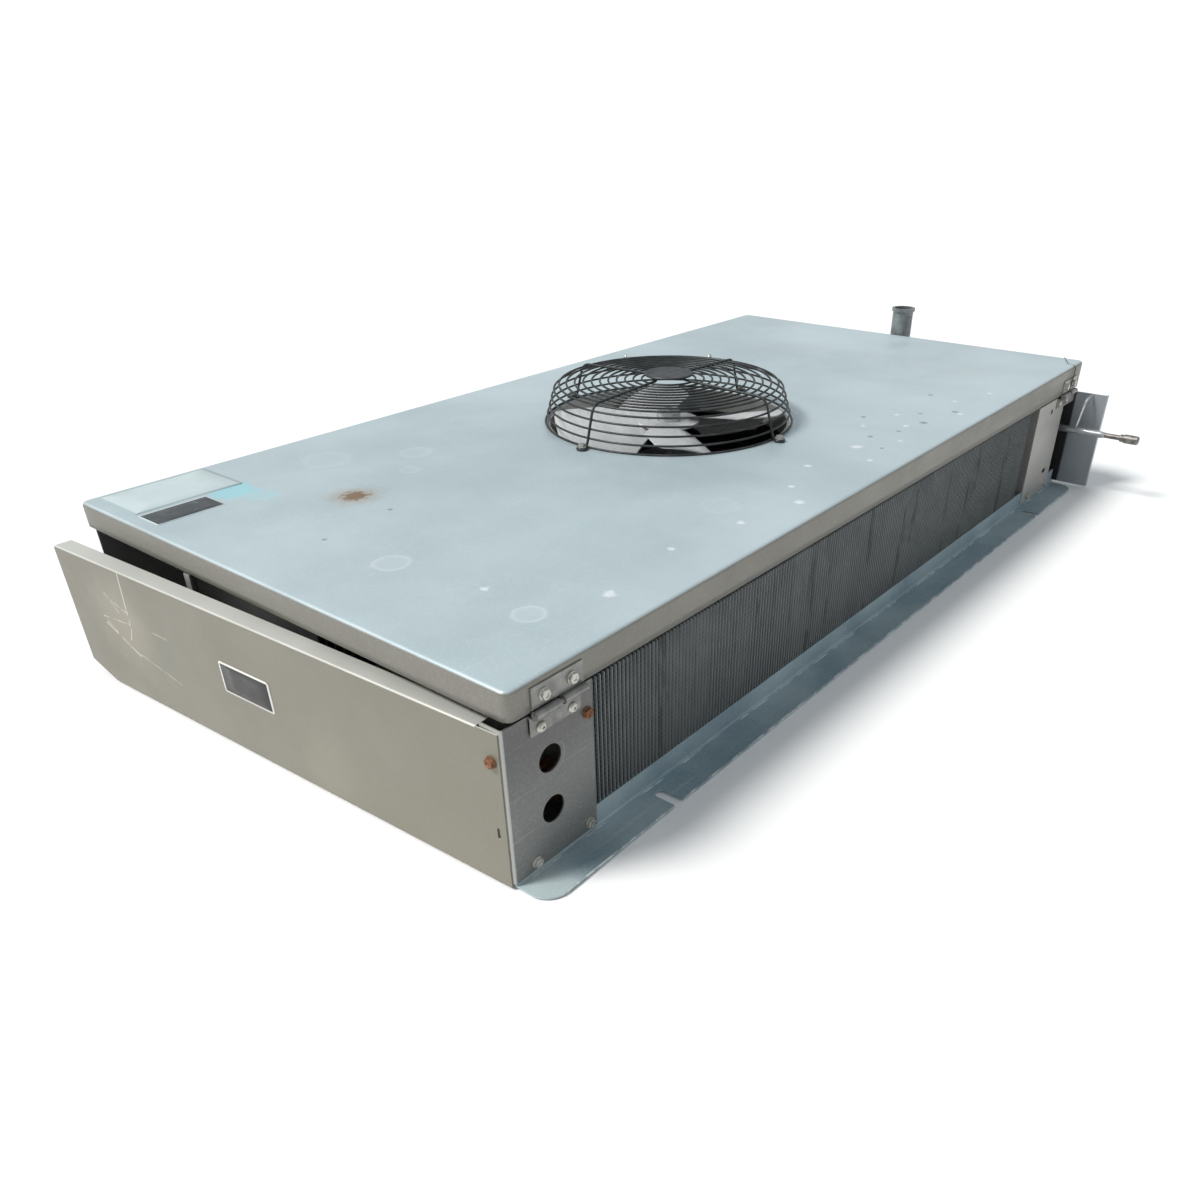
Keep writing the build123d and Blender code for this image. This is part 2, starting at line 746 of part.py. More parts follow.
def make_distributor():
    """Brass distributor at the inner end of the liquid line."""
    body = rod((liquid_x, distributor_back, liquid_z), (0, -1, 0), distributor_radius, distributor_length)
    ends = body.edges().filter_by(GeomType.CIRCLE).sort_by(Axis.Y)
    return chamfer(ends[-1], 4)


def tube_along(points, radius, bends, sides=8):
    """A tube along straight runs joined by tangent arcs."""
    path = FilletPolyline(*points, radius=bends)
    section = Plane(origin=path @ 0, z_dir=path % 0) * RegularPolygon(radius, sides)
    return sweep(section, path=path)


def make_feeders():
    """Thin feeder tubes from the distributor to the lowest tube of each row."""
    y0 = distributor_back
    lows = [tube_points()[r * tubes_per_row] for r in range(tube_rows)]
    x1 = far_sheet_x + tube_end_stub
    tubes = []
    for side, (y, z) in zip((-1, 1), lows):
        start_x = liquid_x + 3 * side
        tubes.append(tube_along([
            (start_x, y0, liquid_z), (start_x, y0 + 14, liquid_z + 4 * side), (start_x - 24, y0 + 22, z + 22),
            (x1 + 22, y, z), (x1, y, z),
        ], feeder_radius, (6, 10, 8)))
    return tubes


def make_liquid_line():
    """Liquid line out of the cut-out towards the front."""
    y0 = distributor_back - distributor_length
    return rod((liquid_x, y0, liquid_z), (0, -1, 0), liquid_radius, y0 - front + liquid_reach)


def make_liquid_cap():
    """Cap on the liquid line's end, with a collar."""
    tip = front - liquid_reach
    cap = rod((liquid_x, tip, liquid_z), (0, -1, 0), liquid_cap_radius, liquid_cap_length)
    cap = chamfer(cap.edges().filter_by(GeomType.CIRCLE).sort_by(Axis.Y)[0], 1.5)
    cap += rod((liquid_x, tip + 5, liquid_z), (0, -1, 0), liquid_cap_radius - 1, 6)
    cap -= rod((liquid_x, tip + 6, liquid_z), (0, -1, 0), liquid_radius, 6)
    return cap


def make_pressure_tube():
    """Thin bare tube that rises from the liquid line beside the far cover."""
    y = front - 17
    z = liquid_z + liquid_radius
    return tube_along([
        (liquid_x, y, z - 0.5), (liquid_x, y - 4, z + 20), (liquid_x + 3, y - 9, z + 36),
        (half_length - 3, y - 11, z + 39),
    ], feeder_radius, (20, 8))


def make_pipe_clip():
    """Strap that carries the liquid line from the floor panel of the bay."""
    y = front + 22
    low = sheet
    strap = block(liquid_x - 6, liquid_x + 6, y - 4, y + 4, low, liquid_z + liquid_radius + 2)
    strap -= rod((liquid_x, y - 6, liquid_z), (0, 1, 0), liquid_radius, 12)
    strap -= block(liquid_x - 4.5, liquid_x + 7, y - 5, y + 5, low + 1.5, liquid_z - liquid_radius - 3)
    return strap


def make_terminal_block():
    """Terminal block on the near tube sheet with a row of raised barriers."""
    x1 = near_sheet_x - sheet
    y0 = -block_length / 2
    z0 = 60.0
    body = block(x1 - block_depth, x1, y0, y0 + block_length, z0, z0 + block_height)
    for k in range(5):
        y = y0 + 6 + 12 * k
        body -= block(x1 - block_depth - 1, x1 - block_depth + 6, y - 4, y + 4, z0 + 4, z0 + block_height - 4)
    return body


def make_ceiling_panel():
    """Floor panel of the stored cabinet: it faces the ceiling in service."""
    return block(-half_length + 2, half_length - 2, -upstand_inner + seat_gap, upstand_inner - seat_gap,
                 0, sheet)


def make_cover_strut():
    """Upright between the ceiling panel and the pan that backs the near cover."""
    x = -half_length + 3
    y = 99.0
    strut = block(x, x + sheet, y - 4, y + 4, sheet, pan_skirt_level - 1)
    return strut + block(x, x + 22, y - 4, y + 4, sheet, 2 * sheet)


def make_plate_screws():
    """Screws of the end plates and back panel, and of the lower hinge leaves."""
    screws = []
    for x, z in plate_screw_points(-1):
        screws.append(facing_front(x, front, z) * screw())
    for x, z in leaf_screw_points(-1):
        screws.append(facing_front(x, front - leaf_sheet, z) * screw())
    for x, z in plate_screw_points(1):
        screws.append(Location(Plane(origin=(x, half_depth, z), z_dir=(0, 1, 0))) * screw())
    for z in far_cover_screw_heights():
        seat = Plane(origin=(half_length + 0.05 + sheet, front + lip_width / 2, z), z_dir=(1, 0, 0))
        screws.append(Location(seat) * screw())
    return screws


def make_rusted_screws():
    """The near cover's one screw and the end plate's spare screw beside the coil."""
    seat = Plane(origin=(-sheet, cover_screw_inset, cover_screw_height), z_dir=(-1, 0, 0))
    cover_screw = near_cover_place() * Location(seat) * screw()
    spare = facing_front(near_sheet_x - 6, front, spare_screw_height()) * screw()
    return [cover_screw, spare]


def spare_screw_height():
    """Height of the lone screw near the top of the near end plate."""
    return cabinet_height - 24


def make_hinge_rivets():
    """Rivets of the upper leaves."""
    return [facing_front(x, pan_front - leaf_sheet, z) * rivet() for x, z in leaf_screw_points(1)]


def make_guard_screws():
    """Screws through the guard's eyelets into the venturi's flange."""
    return [fan_place * Pos(x, y, eyelet_height) * screw() for x, y in guard_feet()]


near_plate = make_near_end_plate()
far_plate = make_far_end_plate()
near_points = [p for p in plate_screw_points(-1) + leaf_screw_points(-1) if p[0] < 0]
near_points.append((near_sheet_x - 6, spare_screw_height()))
far_points = [p for p in plate_screw_points(-1) + leaf_screw_points(-1) if p[0] > 0]
near_plate -= front_screw_holes(near_points, front - 1, sheet + 2)
far_plate -= front_screw_holes(far_points, front - 1, sheet + 2)
for height in far_cover_screw_heights():
    far_plate -= rod((half_length - sheet - 1, front + lip_width / 2, height), (1, 0, 0),
                     screw_radius + screw_clearance, sheet + 2)

near_middle, far_middle = hinge_middles()
parts = {
    "ceiling_panel": make_ceiling_panel(),
    "front_rail": make_rail(-1),
    "back_rail": make_rail(1),
    "near_end_plate": near_plate,
    "far_end_plate": far_plate,
    "near_tube_sheet": tube_sheet(near_sheet_x),
    "far_tube_sheet": tube_sheet(far_sheet_x),
    "back_panel": make_back_panel(),
    "coil_fins": make_fins(),
    "coil_tubes": make_coil_tubes(),
    "near_return_bends": make_return_bends(-1),
    "far_return_bends": make_return_bends(1),
    "suction_header": make_suction_header(),
    "distributor": make_distributor(),
    "feeder_tubes": make_feeders(),
    "liquid_line": make_liquid_line(),
    "liquid_cap": make_liquid_cap(),
    "pressure_tube": make_pressure_tube(),
    "pipe_clip": make_pipe_clip(),
    "terminal_block": make_terminal_block(),
    "near_cover": make_near_cover(),
    "far_cover": make_far_cover(),
    "cover_strut": make_cover_strut(),
    "plate_screws": make_plate_screws(),
    "rusted_screws": make_rusted_screws(),
    "near_lower_leaf": make_lower_leaf(near_middle),
    "far_lower_leaf": make_lower_leaf(far_middle),
    "hinge_pins": make_hinge_pins(),
    "near_upper_leaf": make_upper_leaf(near_middle),
    "far_upper_leaf": make_upper_leaf(far_middle),
    "hinge_rivets": make_hinge_rivets(),
    "drain_pan": make_drain_pan(),
    "drain_fitting": make_drain_fitting(),
    "fan_venturi": make_venturi(),
    "guard_rings": make_guard_rings(),
    "guard_ribs": make_guard_ribs(),
    "guard_badge": make_badge(),
    "guard_screws": make_guard_screws(),
    "motor_mount": make_motor_mount(),
    "fan_motor": make_motor(),
    "fan_hub": make_fan_hub(),
    "fan_blades": make_fan_blades(),
}

os.makedirs("parts", exist_ok=True)
for name, shape in parts.items():
    if isinstance(shape, list):
        shape = Compound(children=[s if isinstance(s, Solid) else s.solids()[0] for s in shape])
    export_step(shape, f"parts/{name}.step")
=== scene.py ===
import math

import bmesh
import bpy
import numpy as np
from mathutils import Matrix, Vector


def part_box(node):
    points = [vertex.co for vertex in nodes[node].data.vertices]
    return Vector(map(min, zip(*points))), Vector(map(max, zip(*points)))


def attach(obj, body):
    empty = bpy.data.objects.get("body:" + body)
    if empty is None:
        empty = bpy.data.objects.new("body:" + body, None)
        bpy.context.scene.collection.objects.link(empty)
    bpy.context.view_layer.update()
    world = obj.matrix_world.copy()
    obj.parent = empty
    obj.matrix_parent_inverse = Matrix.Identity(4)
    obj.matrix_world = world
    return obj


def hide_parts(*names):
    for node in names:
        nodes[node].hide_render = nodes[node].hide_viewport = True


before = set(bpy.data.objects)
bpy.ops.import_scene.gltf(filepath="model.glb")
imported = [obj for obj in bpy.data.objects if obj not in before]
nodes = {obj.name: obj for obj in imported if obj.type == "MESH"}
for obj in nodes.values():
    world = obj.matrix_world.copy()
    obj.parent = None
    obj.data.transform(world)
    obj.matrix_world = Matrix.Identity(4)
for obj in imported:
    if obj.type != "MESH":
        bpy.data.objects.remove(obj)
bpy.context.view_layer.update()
toMetres = 0.001
print("frame loaded")


# ---- camera, floor and light ----

cameraSet = {"place": (-0.86473, -0.63791, 0.45077), "elevation": 32.98, "azimuth": -51.75,
             "sensor": 36.0, "lens": 28.714, "shiftX": -0.0420, "shiftY": 0.1039}

cameraData = bpy.data.cameras.new("camera")
cameraData.sensor_width = cameraSet["sensor"]
cameraData.lens = cameraSet["lens"]
cameraData.shift_x = cameraSet["shiftX"]
cameraData.shift_y = cameraSet["shiftY"]
cameraData.clip_start = 0.01
cameraData.dof.use_dof = False
camera = bpy.data.objects.new("camera", cameraData)
camera.location = cameraSet["place"]
camera.rotation_euler = (math.radians(90 - cameraSet["elevation"]), 0, math.radians(cameraSet["azimuth"]))
bpy.context.scene.collection.objects.link(camera)
bpy.context.scene.camera = camera
bpy.context.scene.view_settings.view_transform = "Standard"

lightSet = {"skyStrength": 0.49, "backdrop": 1.05, "skyTop": (0.86, 0.94, 1.0), "skyEdge": (1.0, 1.0, 1.0),
            "keyStrength": 3.0, "keySize": 16.0, "keyColour": (1.0, 0.985, 0.955),
            "keyHeight": 51.0, "keyFrom": (-0.83, 0.56)}

keyData = bpy.data.lights.new("key", "SUN")
keyData.energy = lightSet["keyStrength"]
keyData.angle = math.radians(lightSet["keySize"])
keyData.color = lightSet["keyColour"]
key = bpy.data.objects.new("key", keyData)
keyFrom = lightSet["keyFrom"]
key.rotation_euler = (math.radians(90 - lightSet["keyHeight"]), 0, math.atan2(keyFrom[0], -keyFrom[1]))
bpy.context.scene.collection.objects.link(key)


# ---- small helpers for node trees ----

def addNode(tree, kind, inputs=None, **settings):
    # a node with its settings, and sockets either linked or filled with values
    made = tree.nodes.new(kind)
    for name, value in settings.items():
        setattr(made, name, value)
    for name, value in (inputs or {}).items():
        if isinstance(value, bpy.types.NodeSocket):
            tree.links.new(value, made.inputs[name])
        else:
            made.inputs[name].default_value = value
    return made


def calc(tree, operation, a, b=0.0, clamp=False):
    # one sum on two numbers
    return addNode(tree, "ShaderNodeMath", {0: a, 1: b}, operation=operation, use_clamp=clamp).outputs[0]


def times(tree, a, b):
    # product of two numbers
    return calc(tree, "MULTIPLY", a, b)


def step(tree, value, low, high, outLow=0.0, outHigh=1.0):
    # smooth change from outLow to outHigh while value goes from low to high
    made = addNode(tree, "ShaderNodeMapRange", {"Value": value, "From Min": low, "From Max": high,
                                                "To Min": outLow, "To Max": outHigh},
                   interpolation_type="SMOOTHSTEP")
    return made.outputs["Result"]


def mixColour(tree, factor, a, b):
    # b over a by a factor, each a socket or an even colour
    made = addNode(tree, "ShaderNodeMix", data_type="RGBA")
    for socket, value in ((made.inputs[0], factor), (made.inputs[6], a), (made.inputs[7], b)):
        if isinstance(value, bpy.types.NodeSocket):
            tree.links.new(value, socket)
        else:
            socket.default_value = value if isinstance(value, float) else (*value[:3], 1.0)
    return made.outputs[2]


def laid(tree, colour, mask, strength, over):
    # another colour laid over where the mask is, at a share of its full strength
    return mixColour(tree, times(tree, mask, strength), colour, over)


def objectAxes(tree):
    # the three object coordinates, one socket each
    coords = addNode(tree, "ShaderNodeTexCoord").outputs["Object"]
    return addNode(tree, "ShaderNodeSeparateXYZ", {0: coords}).outputs


def topShare(tree):
    # 1 on faces that look up, 0 on upright ones and on undersides
    normal = addNode(tree, "ShaderNodeTexCoord").outputs["Normal"]
    return step(tree, addNode(tree, "ShaderNodeSeparateXYZ", {0: normal}).outputs["Z"], 0.35, 0.9)


def place(tree, scale=(1, 1, 1), turn=(0, 0, 0), shift=(0, 0, 0)):
    # object coordinates, moved, turned and stretched
    coords = addNode(tree, "ShaderNodeTexCoord").outputs["Object"]
    made = addNode(tree, "ShaderNodeMapping", {"Vector": coords, "Scale": scale, "Rotation": turn,
                                               "Location": shift})
    return made.outputs[0]


def noise(tree, scale, detail=3.0, rough=0.55, stretch=(1, 1, 1), turn=(0, 0, 0), shift=(0, 0, 0)):
    # cloudy noise on object coordinates, from 0 to 1 and mostly near the middle
    made = addNode(tree, "ShaderNodeTexNoise", {"Vector": place(tree, stretch, turn, shift), "Scale": scale,
                                                "Detail": detail, "Roughness": rough})
    return made.outputs["Fac"]


def spot(tree, centre, radius, edge=0.25, ragged=0.0, scale=120.0):
    # 1 inside a round spot given in millimetres, with a soft and ragged edge
    coords = addNode(tree, "ShaderNodeTexCoord").outputs["Object"]
    middle = tuple(c * toMetres for c in centre)
    far = addNode(tree, "ShaderNodeVectorMath", {0: coords, 1: middle}, operation="DISTANCE").outputs["Value"]
    if ragged:
        wobble = calc(tree, "SUBTRACT", noise(tree, scale, 4.0, 0.7), 0.5)
        far = calc(tree, "ADD", far, times(tree, wobble, ragged * radius * toMetres))
    size = radius * toMetres
    return step(tree, far, size * (1 + edge), size * (1 - edge))


def scratch(tree, start, end, width):
    # 1 along a straight line between two points in millimetres
    coords = addNode(tree, "ShaderNodeTexCoord").outputs["Object"]
    a = np.array(start) * toMetres
    b = np.array(end) * toMetres
    along = b - a
    offset = addNode(tree, "ShaderNodeVectorMath", {0: coords, 1: tuple(a)}, operation="SUBTRACT").outputs[0]
    dot = addNode(tree, "ShaderNodeVectorMath", {0: offset, 1: tuple(along / (along @ along))},
                  operation="DOT_PRODUCT").outputs["Value"]
    share = calc(tree, "ADD", dot, 0.0, clamp=True)
    near = addNode(tree, "ShaderNodeVectorMath", {0: tuple(along), "Scale": share},
                   operation="SCALE").outputs[0]
    far = addNode(tree, "ShaderNodeVectorMath", {0: offset, 1: near}, operation="DISTANCE").outputs["Value"]
    line = step(tree, far, width * toMetres, width * toMetres * 0.3)
    return times(tree, line, step(tree, noise(tree, 90.0), 0.35, 0.6))


def newMaterial(name, metallic):
    # an empty material whose even values sit on the shader itself
    material = bpy.data.materials.new(name)
    material.use_nodes = True
    shader = material.node_tree.nodes["Principled BSDF"]
    shader.inputs["Metallic"].default_value = metallic
    return material, material.node_tree, shader


def finishMaterial(tree, shader, colour, roughness, height, strength, distance):
    # the shader's colour and roughness, and a bump from a height
    tree.links.new(colour, shader.inputs["Base Color"])
    tree.links.new(roughness, shader.inputs["Roughness"])
    bump = addNode(tree, "ShaderNodeBump", {"Height": height, "Strength": strength, "Distance": distance})
    tree.links.new(bump.outputs[0], shader.inputs["Normal"])


def sheetMetal(name, look, extra=None):
    # rolled sheet: slow tone drift, fine grain, pale and dark specks, hairlines, optional marks; with a side
    # colour, upright faces get painted shade against paler tops
    material, tree, shader = newMaterial(name, look["metallic"])
    drift = step(tree, noise(tree, look.get("driftScale", 5.0), 4.0), 0.3, 0.7)
    colour = mixColour(tree, drift, look["dark"], look["light"])
    marks = 1.0
    # painted light: upright faces take the darker side colour and faces that look up take the paler one,
    # standing in for shade and sky light
    if "side" in look:
        up = topShare(tree)
        side = mixColour(tree, noise(tree, 9.0, 3.0), look["side"], [c * 1.12 for c in look["side"]])
        marks = calc(tree, "ADD", times(tree, up, 0.7), 0.3)
        colour = mixColour(tree, up, side, colour)
    grain = noise(tree, 420.0, 2.0, 0.6)
    colour = laid(tree, colour, step(tree, grain, 0.4, 0.75, 0.0, look["grain"]), marks, look["pale"])
    speckScale = look["speckScale"]
    pale = step(tree, noise(tree, speckScale, 5.0, 0.8, shift=(0.3, 0.1, 0)), 0.655, 0.7)
    colour = laid(tree, colour, times(tree, pale, marks), look["paleSpecks"], look["pale"])
    dark = step(tree, noise(tree, speckScale * 1.4, 5.0, 0.85, shift=(0.7, 0.4, 0.2)), 0.675, 0.71)
    colour = laid(tree, colour, dark, look["darkSpecks"], look["grimeAndShade"])
    hair = step(tree, noise(tree, 26.0, 2.0, 0.5, (0.25, 14, 14), (0, 0, 0.6)), 0.66, 0.7)
    colour = laid(tree, colour, times(tree, hair, marks), look["hairlines"], look["pale"])
    if extra:
        colour = extra(tree, colour)
    roughness = step(tree, noise(tree, 14.0, 5.0, 0.6), 0.3, 0.7, look["smooth"], look["rough"])
    finishMaterial(tree, shader, colour, roughness, calc(tree, "ADD", grain, hair), look["bump"], 0.0004)
    return material


def turnedMetal(name, look):
    # small fittings: tone patches, fine pits and tarnish in the low places
    material, tree, shader = newMaterial(name, look["metallic"])
    patch = step(tree, noise(tree, look.get("patchScale", 60.0), 5.0, 0.65), 0.35, 0.68)
    colour = mixColour(tree, patch, look["dark"], look["light"])
    pits = step(tree, noise(tree, 500.0, 4.0, 0.75), 0.58, 0.7)
    colour = laid(tree, colour, pits, look.get("pits", 0.4), look["grimeAndShade"])
    roughness = step(tree, noise(tree, 90.0, 4.0), 0.3, 0.7, look["smooth"], look["rough"])
    height = calc(tree, "SUBTRACT", patch, pits)
    finishMaterial(tree, shader, colour, roughness, height, look.get("bump", 0.2), 0.0003)
    return material


# ---- finishes ----

# painted shade: the side colour darkens the pan's upright skirt against its paler top
panLook = {"metallic": 0.3, "dark": (0.45, 0.545, 0.58), "light": (0.56, 0.66, 0.69),
           "side": (0.205, 0.195, 0.17), "pale": (0.74, 0.80, 0.83), "grimeAndShade": (0.13, 0.14, 0.14),
           "smooth": 0.36, "rough": 0.52,
           "speckScale": 120.0, "paleSpecks": 0.7, "darkSpecks": 0.35, "hairlines": 0.12, "grain": 0.16,
           "bump": 0.06, "driftScale": 4.0}
rustSpot = {"centre": (-377, 82, 157), "radius": 15.0, "halo": (0.42, 0.36, 0.28), "core": (0.22, 0.11, 0.045)}
films = (((-437, 182, 156), 20.0, 0.25, 1.9, 70.0, 0.75, (0.36, 0.72, 0.80)),
         ((-428, 150, 156), 13.0, 0.35, 2.2, 80.0, 0.45, (0.42, 0.72, 0.78)))
markTints = {"ring": (0.80, 0.86, 0.88), "dent": (0.16, 0.17, 0.18), "fleck": (0.90, 0.94, 0.96)}
paleOvals = (((-330, 190, 157), 24.0, 0.16), ((-262, 137, 158), 16.0, 0.22), ((-300, 100, 157), 10.0, 0.2),
             ((-452, -60, 156), 15.0, 0.4), ((-450, -204, 156), 13.0, 0.45), ((-200, -190, 158), 18.0, 0.16))
dimMarks = (((60, -200, 160), 3.0), ((95, -215, 160), 2.5), ((140, -222, 161), 4.0), ((120, -160, 161), 3.0),
            ((-380, 30, 157), 2.2), ((170, -205, 162), 2.5), ((30, -228, 160), 2.2), ((-455, 20, 156), 2.0),
            ((250, -180, 162), 3.0), ((200, -232, 162), 3.4))


paleFlecks = (((-60, -196, 160), 3.4), ((20, -206, 160), 4.6), ((64, -232, 160), 2.6),
              ((118, -212, 161), 3.2), ((150, -186, 161), 2.8), ((196, -240, 162), 3.0),
              ((-10, -236, 160), 2.4), ((240, -214, 162), 2.6), ((-120, -214, 159), 3.0),
              ((-150, -240, 159), 4.2), ((-220, -226, 158), 3.4), ((90, -176, 161), 2.2),
              ((300, -232, 163), 2.4), ((-300, -214, 157), 2.8), ((-392, -228, 156), 5.0),
              ((-440, -150, 156), 3.2))


def panMarks(tree, colour):
    # rust, water rings, drops, small dents and a torn sticker's film, on the top face alone
    plain = colour
    for centre, radius, strength in paleOvals:
        disc = spot(tree, centre, radius, 0.12, 0.5, 60.0)
        middle = spot(tree, centre, radius * 0.8, 0.25, 0.5, 60.0)
        ring = calc(tree, "SUBTRACT", disc, times(tree, middle, 0.7), clamp=True)
        colour = laid(tree, colour, ring, strength, markTints["ring"])
    for centre, radius in dimMarks:
        colour = laid(tree, colour, spot(tree, centre, radius, 0.5, 1.2, 200.0), 0.6, markTints["dent"])
    for centre, radius in paleFlecks:
        colour = laid(tree, colour, spot(tree, centre, radius, 0.5, 2.6, 240.0), 0.7, markTints["fleck"])
    halo = spot(tree, rustSpot["centre"], rustSpot["radius"] * 1.5, 0.45, 1.5, 90.0)
    colour = laid(tree, colour, halo, 0.5, rustSpot["halo"])
    core = spot(tree, rustSpot["centre"], rustSpot["radius"] * 0.75, 0.4, 2.4, 190.0)
    colour = laid(tree, colour, core, 0.85, rustSpot["core"])
    for centre, radius, edge, ragged, scale, strength, tint in films:
        colour = laid(tree, colour, spot(tree, centre, radius, edge, ragged, scale), strength, tint)
    return mixColour(tree, topShare(tree), plain, colour)


coverScratches = (((-563.6, 161, 131), (-563.9, 167.5, 71), 0.9),
                  ((-563.9, 167.5, 71), (-564.2, 173, 60), 0.7),
                  ((-566.2, 208, 67), (-563.8, 165, 46), 0.9), ((-565.0, 187.5, 93), (-563.8, 165, 87.5), 0.6),
                  ((-566.3, 210, 73), (-564.0, 168, 76), 0.5), ((-566.0, 205, 70), (-565.2, 190, 58.5), 0.6),
                  ((-564.7, 181, 93), (-563.7, 163, 80.5), 0.6), ((-563.7, 164, 48), (-560.6, 108, 36), 0.45),
                  ((-562.2, 136, 79), (-560.8, 112, 78), 0.4), ((-565.4, 196, 99), (-564.6, 180, 84), 0.5))
coverSmudges = (((-564, 178, 72), 34.0, 0.28, (0.46, 0.40, 0.32)),
                ((-561, 128, 62), 22.0, 0.2, (0.22, 0.24, 0.21)),
                ((-550, -80, 30), 26.0, 0.12, (0.46, 0.43, 0.36)))


scratchTint = (0.80, 0.77, 0.70)


def coverMarks(tree, colour):
    # handling smudges, and over them pale scratches that break off here and there
    for centre, radius, strength, tint in coverSmudges:
        colour = laid(tree, colour, spot(tree, centre, radius, 0.7, 1.2, 30.0), strength, tint)
    for start, end, width in coverScratches:
        colour = laid(tree, colour, scratch(tree, start, end, width), 0.75, scratchTint)
    return colour


railWearAndSunlight = {"edge": (0.2925, 0.2936), "bendOut": (0.2642, 0.2650), "bendIn": (0.2668, 0.2660),
            "patch": (0.46, 0.54, 0.55), "tipCentre": (-532, -286, 2), "tipRadius": 30.0,
            "tip": (0.66, 0.74, 0.72), "line": (0.72, 0.80, 0.80)}


def railMarks(tree, colour):
    # galvanising rubbed off along the bend and the flange's free edge; a pale patch at the near tip, partly
    # wear and partly painted sunlight
    out = calc(tree, "ABSOLUTE", objectAxes(tree)["Y"])
    edge = step(tree, out, *railWearAndSunlight["edge"])
    bend = times(tree, step(tree, out, *railWearAndSunlight["bendOut"]), step(tree, out, *railWearAndSunlight["bendIn"]))
    worn = step(tree, noise(tree, 34.0, 5.0, 0.75, (1, 2, 2)), 0.47, 0.56)
    lines = times(tree, calc(tree, "MAXIMUM", edge, bend), worn)
    patches = step(tree, noise(tree, 22.0, 6.0, 0.8, (0.6, 1.6, 1), shift=(0.2, 0.5, 0)), 0.57, 0.66)
    colour = laid(tree, colour, patches, 0.28, railWearAndSunlight["patch"])
    # partly painted sunlight: the pale tip patch stands for the sunlit corner of the flange as well as wear
    tip = spot(tree, railWearAndSunlight["tipCentre"], railWearAndSunlight["tipRadius"], 0.5, 0.8, 40.0)
    colour = laid(tree, colour, tip, 0.5, railWearAndSunlight["tip"])
    return laid(tree, colour, lines, 0.8, railWearAndSunlight["line"])


# painted shade: the near-black colour stands for the shade inside the pipe bay
bayForm = {"front": (-0.2685, -0.2655), "inside": (0.5399, 0.5397), "grimeAndShade": (0.012, 0.012, 0.012)}


def bayShade(tree, colour):
    # painted shade, near black, on the far cover's inside where it closes the pipe bay
    axes = objectAxes(tree)
    inside = times(tree, step(tree, axes["Y"], *bayForm["front"]), step(tree, axes["X"], *bayForm["inside"]))
    return laid(tree, colour, inside, 0.93, bayForm["grimeAndShade"])


# painted light: the side colour is the cover's upright face, and the paler colour is a painted highlight on
# its top flange, which faces up
coverLook = {"metallic": 0.3, "dark": (0.56, 0.56, 0.52), "light": (0.66, 0.66, 0.62),
             "side": (0.222, 0.21, 0.17), "pale": (0.60, 0.58, 0.52), "grimeAndShade": (0.16, 0.14, 0.11),
             "smooth": 0.34, "rough": 0.48,
             "speckScale": 90.0, "paleSpecks": 0.12, "darkSpecks": 0.12, "hairlines": 0.08,
             "grain": 0.1, "bump": 0.05}
cabinetLook = {"metallic": 0.4, "dark": (0.25, 0.255, 0.245), "light": (0.36, 0.365, 0.355),
               "pale": (0.62, 0.63, 0.62), "grimeAndShade": (0.12, 0.12, 0.11), "smooth": 0.32, "rough": 0.5,
               "speckScale": 110.0, "paleSpecks": 0.15, "darkSpecks": 0.2, "hairlines": 0.1,
               "grain": 0.12, "bump": 0.06}
railLook = {"metallic": 0.18, "dark": (0.22, 0.31, 0.36), "light": (0.37, 0.465, 0.50),
            "pale": (0.55, 0.62, 0.62), "grimeAndShade": (0.07, 0.085, 0.09), "smooth": 0.4, "rough": 0.62,
            "driftScale": 12.0, "speckScale": 60.0, "paleSpecks": 0.4, "darkSpecks": 0.5,
            "hairlines": 0.25, "grain": 0.22, "bump": 0.15}
farLook = dict(cabinetLook, dark=(0.37, 0.36, 0.335), light=(0.48, 0.47, 0.44), pale=(0.78, 0.78, 0.76))

nearLook = dict(cabinetLook, dark=(0.195, 0.198, 0.192), light=(0.262, 0.265, 0.257))
# painted light: the shade colour darkens the plate under the pan, and the fold colour is a painted highlight
nearTone = {"underPan": (0.05, 0.118), "shade": (0.03, 0.028, 0.024), "fold": (-0.5364, -0.5376),
            "foldPaintedHighlight": (0.62, 0.62, 0.58)}


def nearShadeAndHighlight(tree, colour):
    # painted shade, darker towards the top under the pan, and a painted highlight along the folded end
    axes = objectAxes(tree)
    under = step(tree, axes["Z"], *nearTone["underPan"], 0.0, 0.42)
    colour = mixColour(tree, under, colour, nearTone["shade"])
    return mixColour(tree, step(tree, axes["X"], *nearTone["fold"], 0.0, 0.6), colour, nearTone["foldPaintedHighlight"])


galvanisedNear = sheetMetal("galvanisedNear", nearLook, nearShadeAndHighlight)
galvanisedPan = sheetMetal("galvanisedPan", panLook, panMarks)
galvanisedCover = sheetMetal("galvanisedCover", coverLook, coverMarks)
galvanisedCabinet = sheetMetal("galvanisedCabinet", cabinetLook)
galvanisedRail = sheetMetal("galvanisedRail", railLook, railMarks)
brightPlate = sheetMetal("brightPlate", farLook)
pipeLook = dict(cabinetLook, dark=(0.26, 0.29, 0.32), light=(0.38, 0.41, 0.44))
pipeCover = sheetMetal("pipeCover", pipeLook, bayShade)

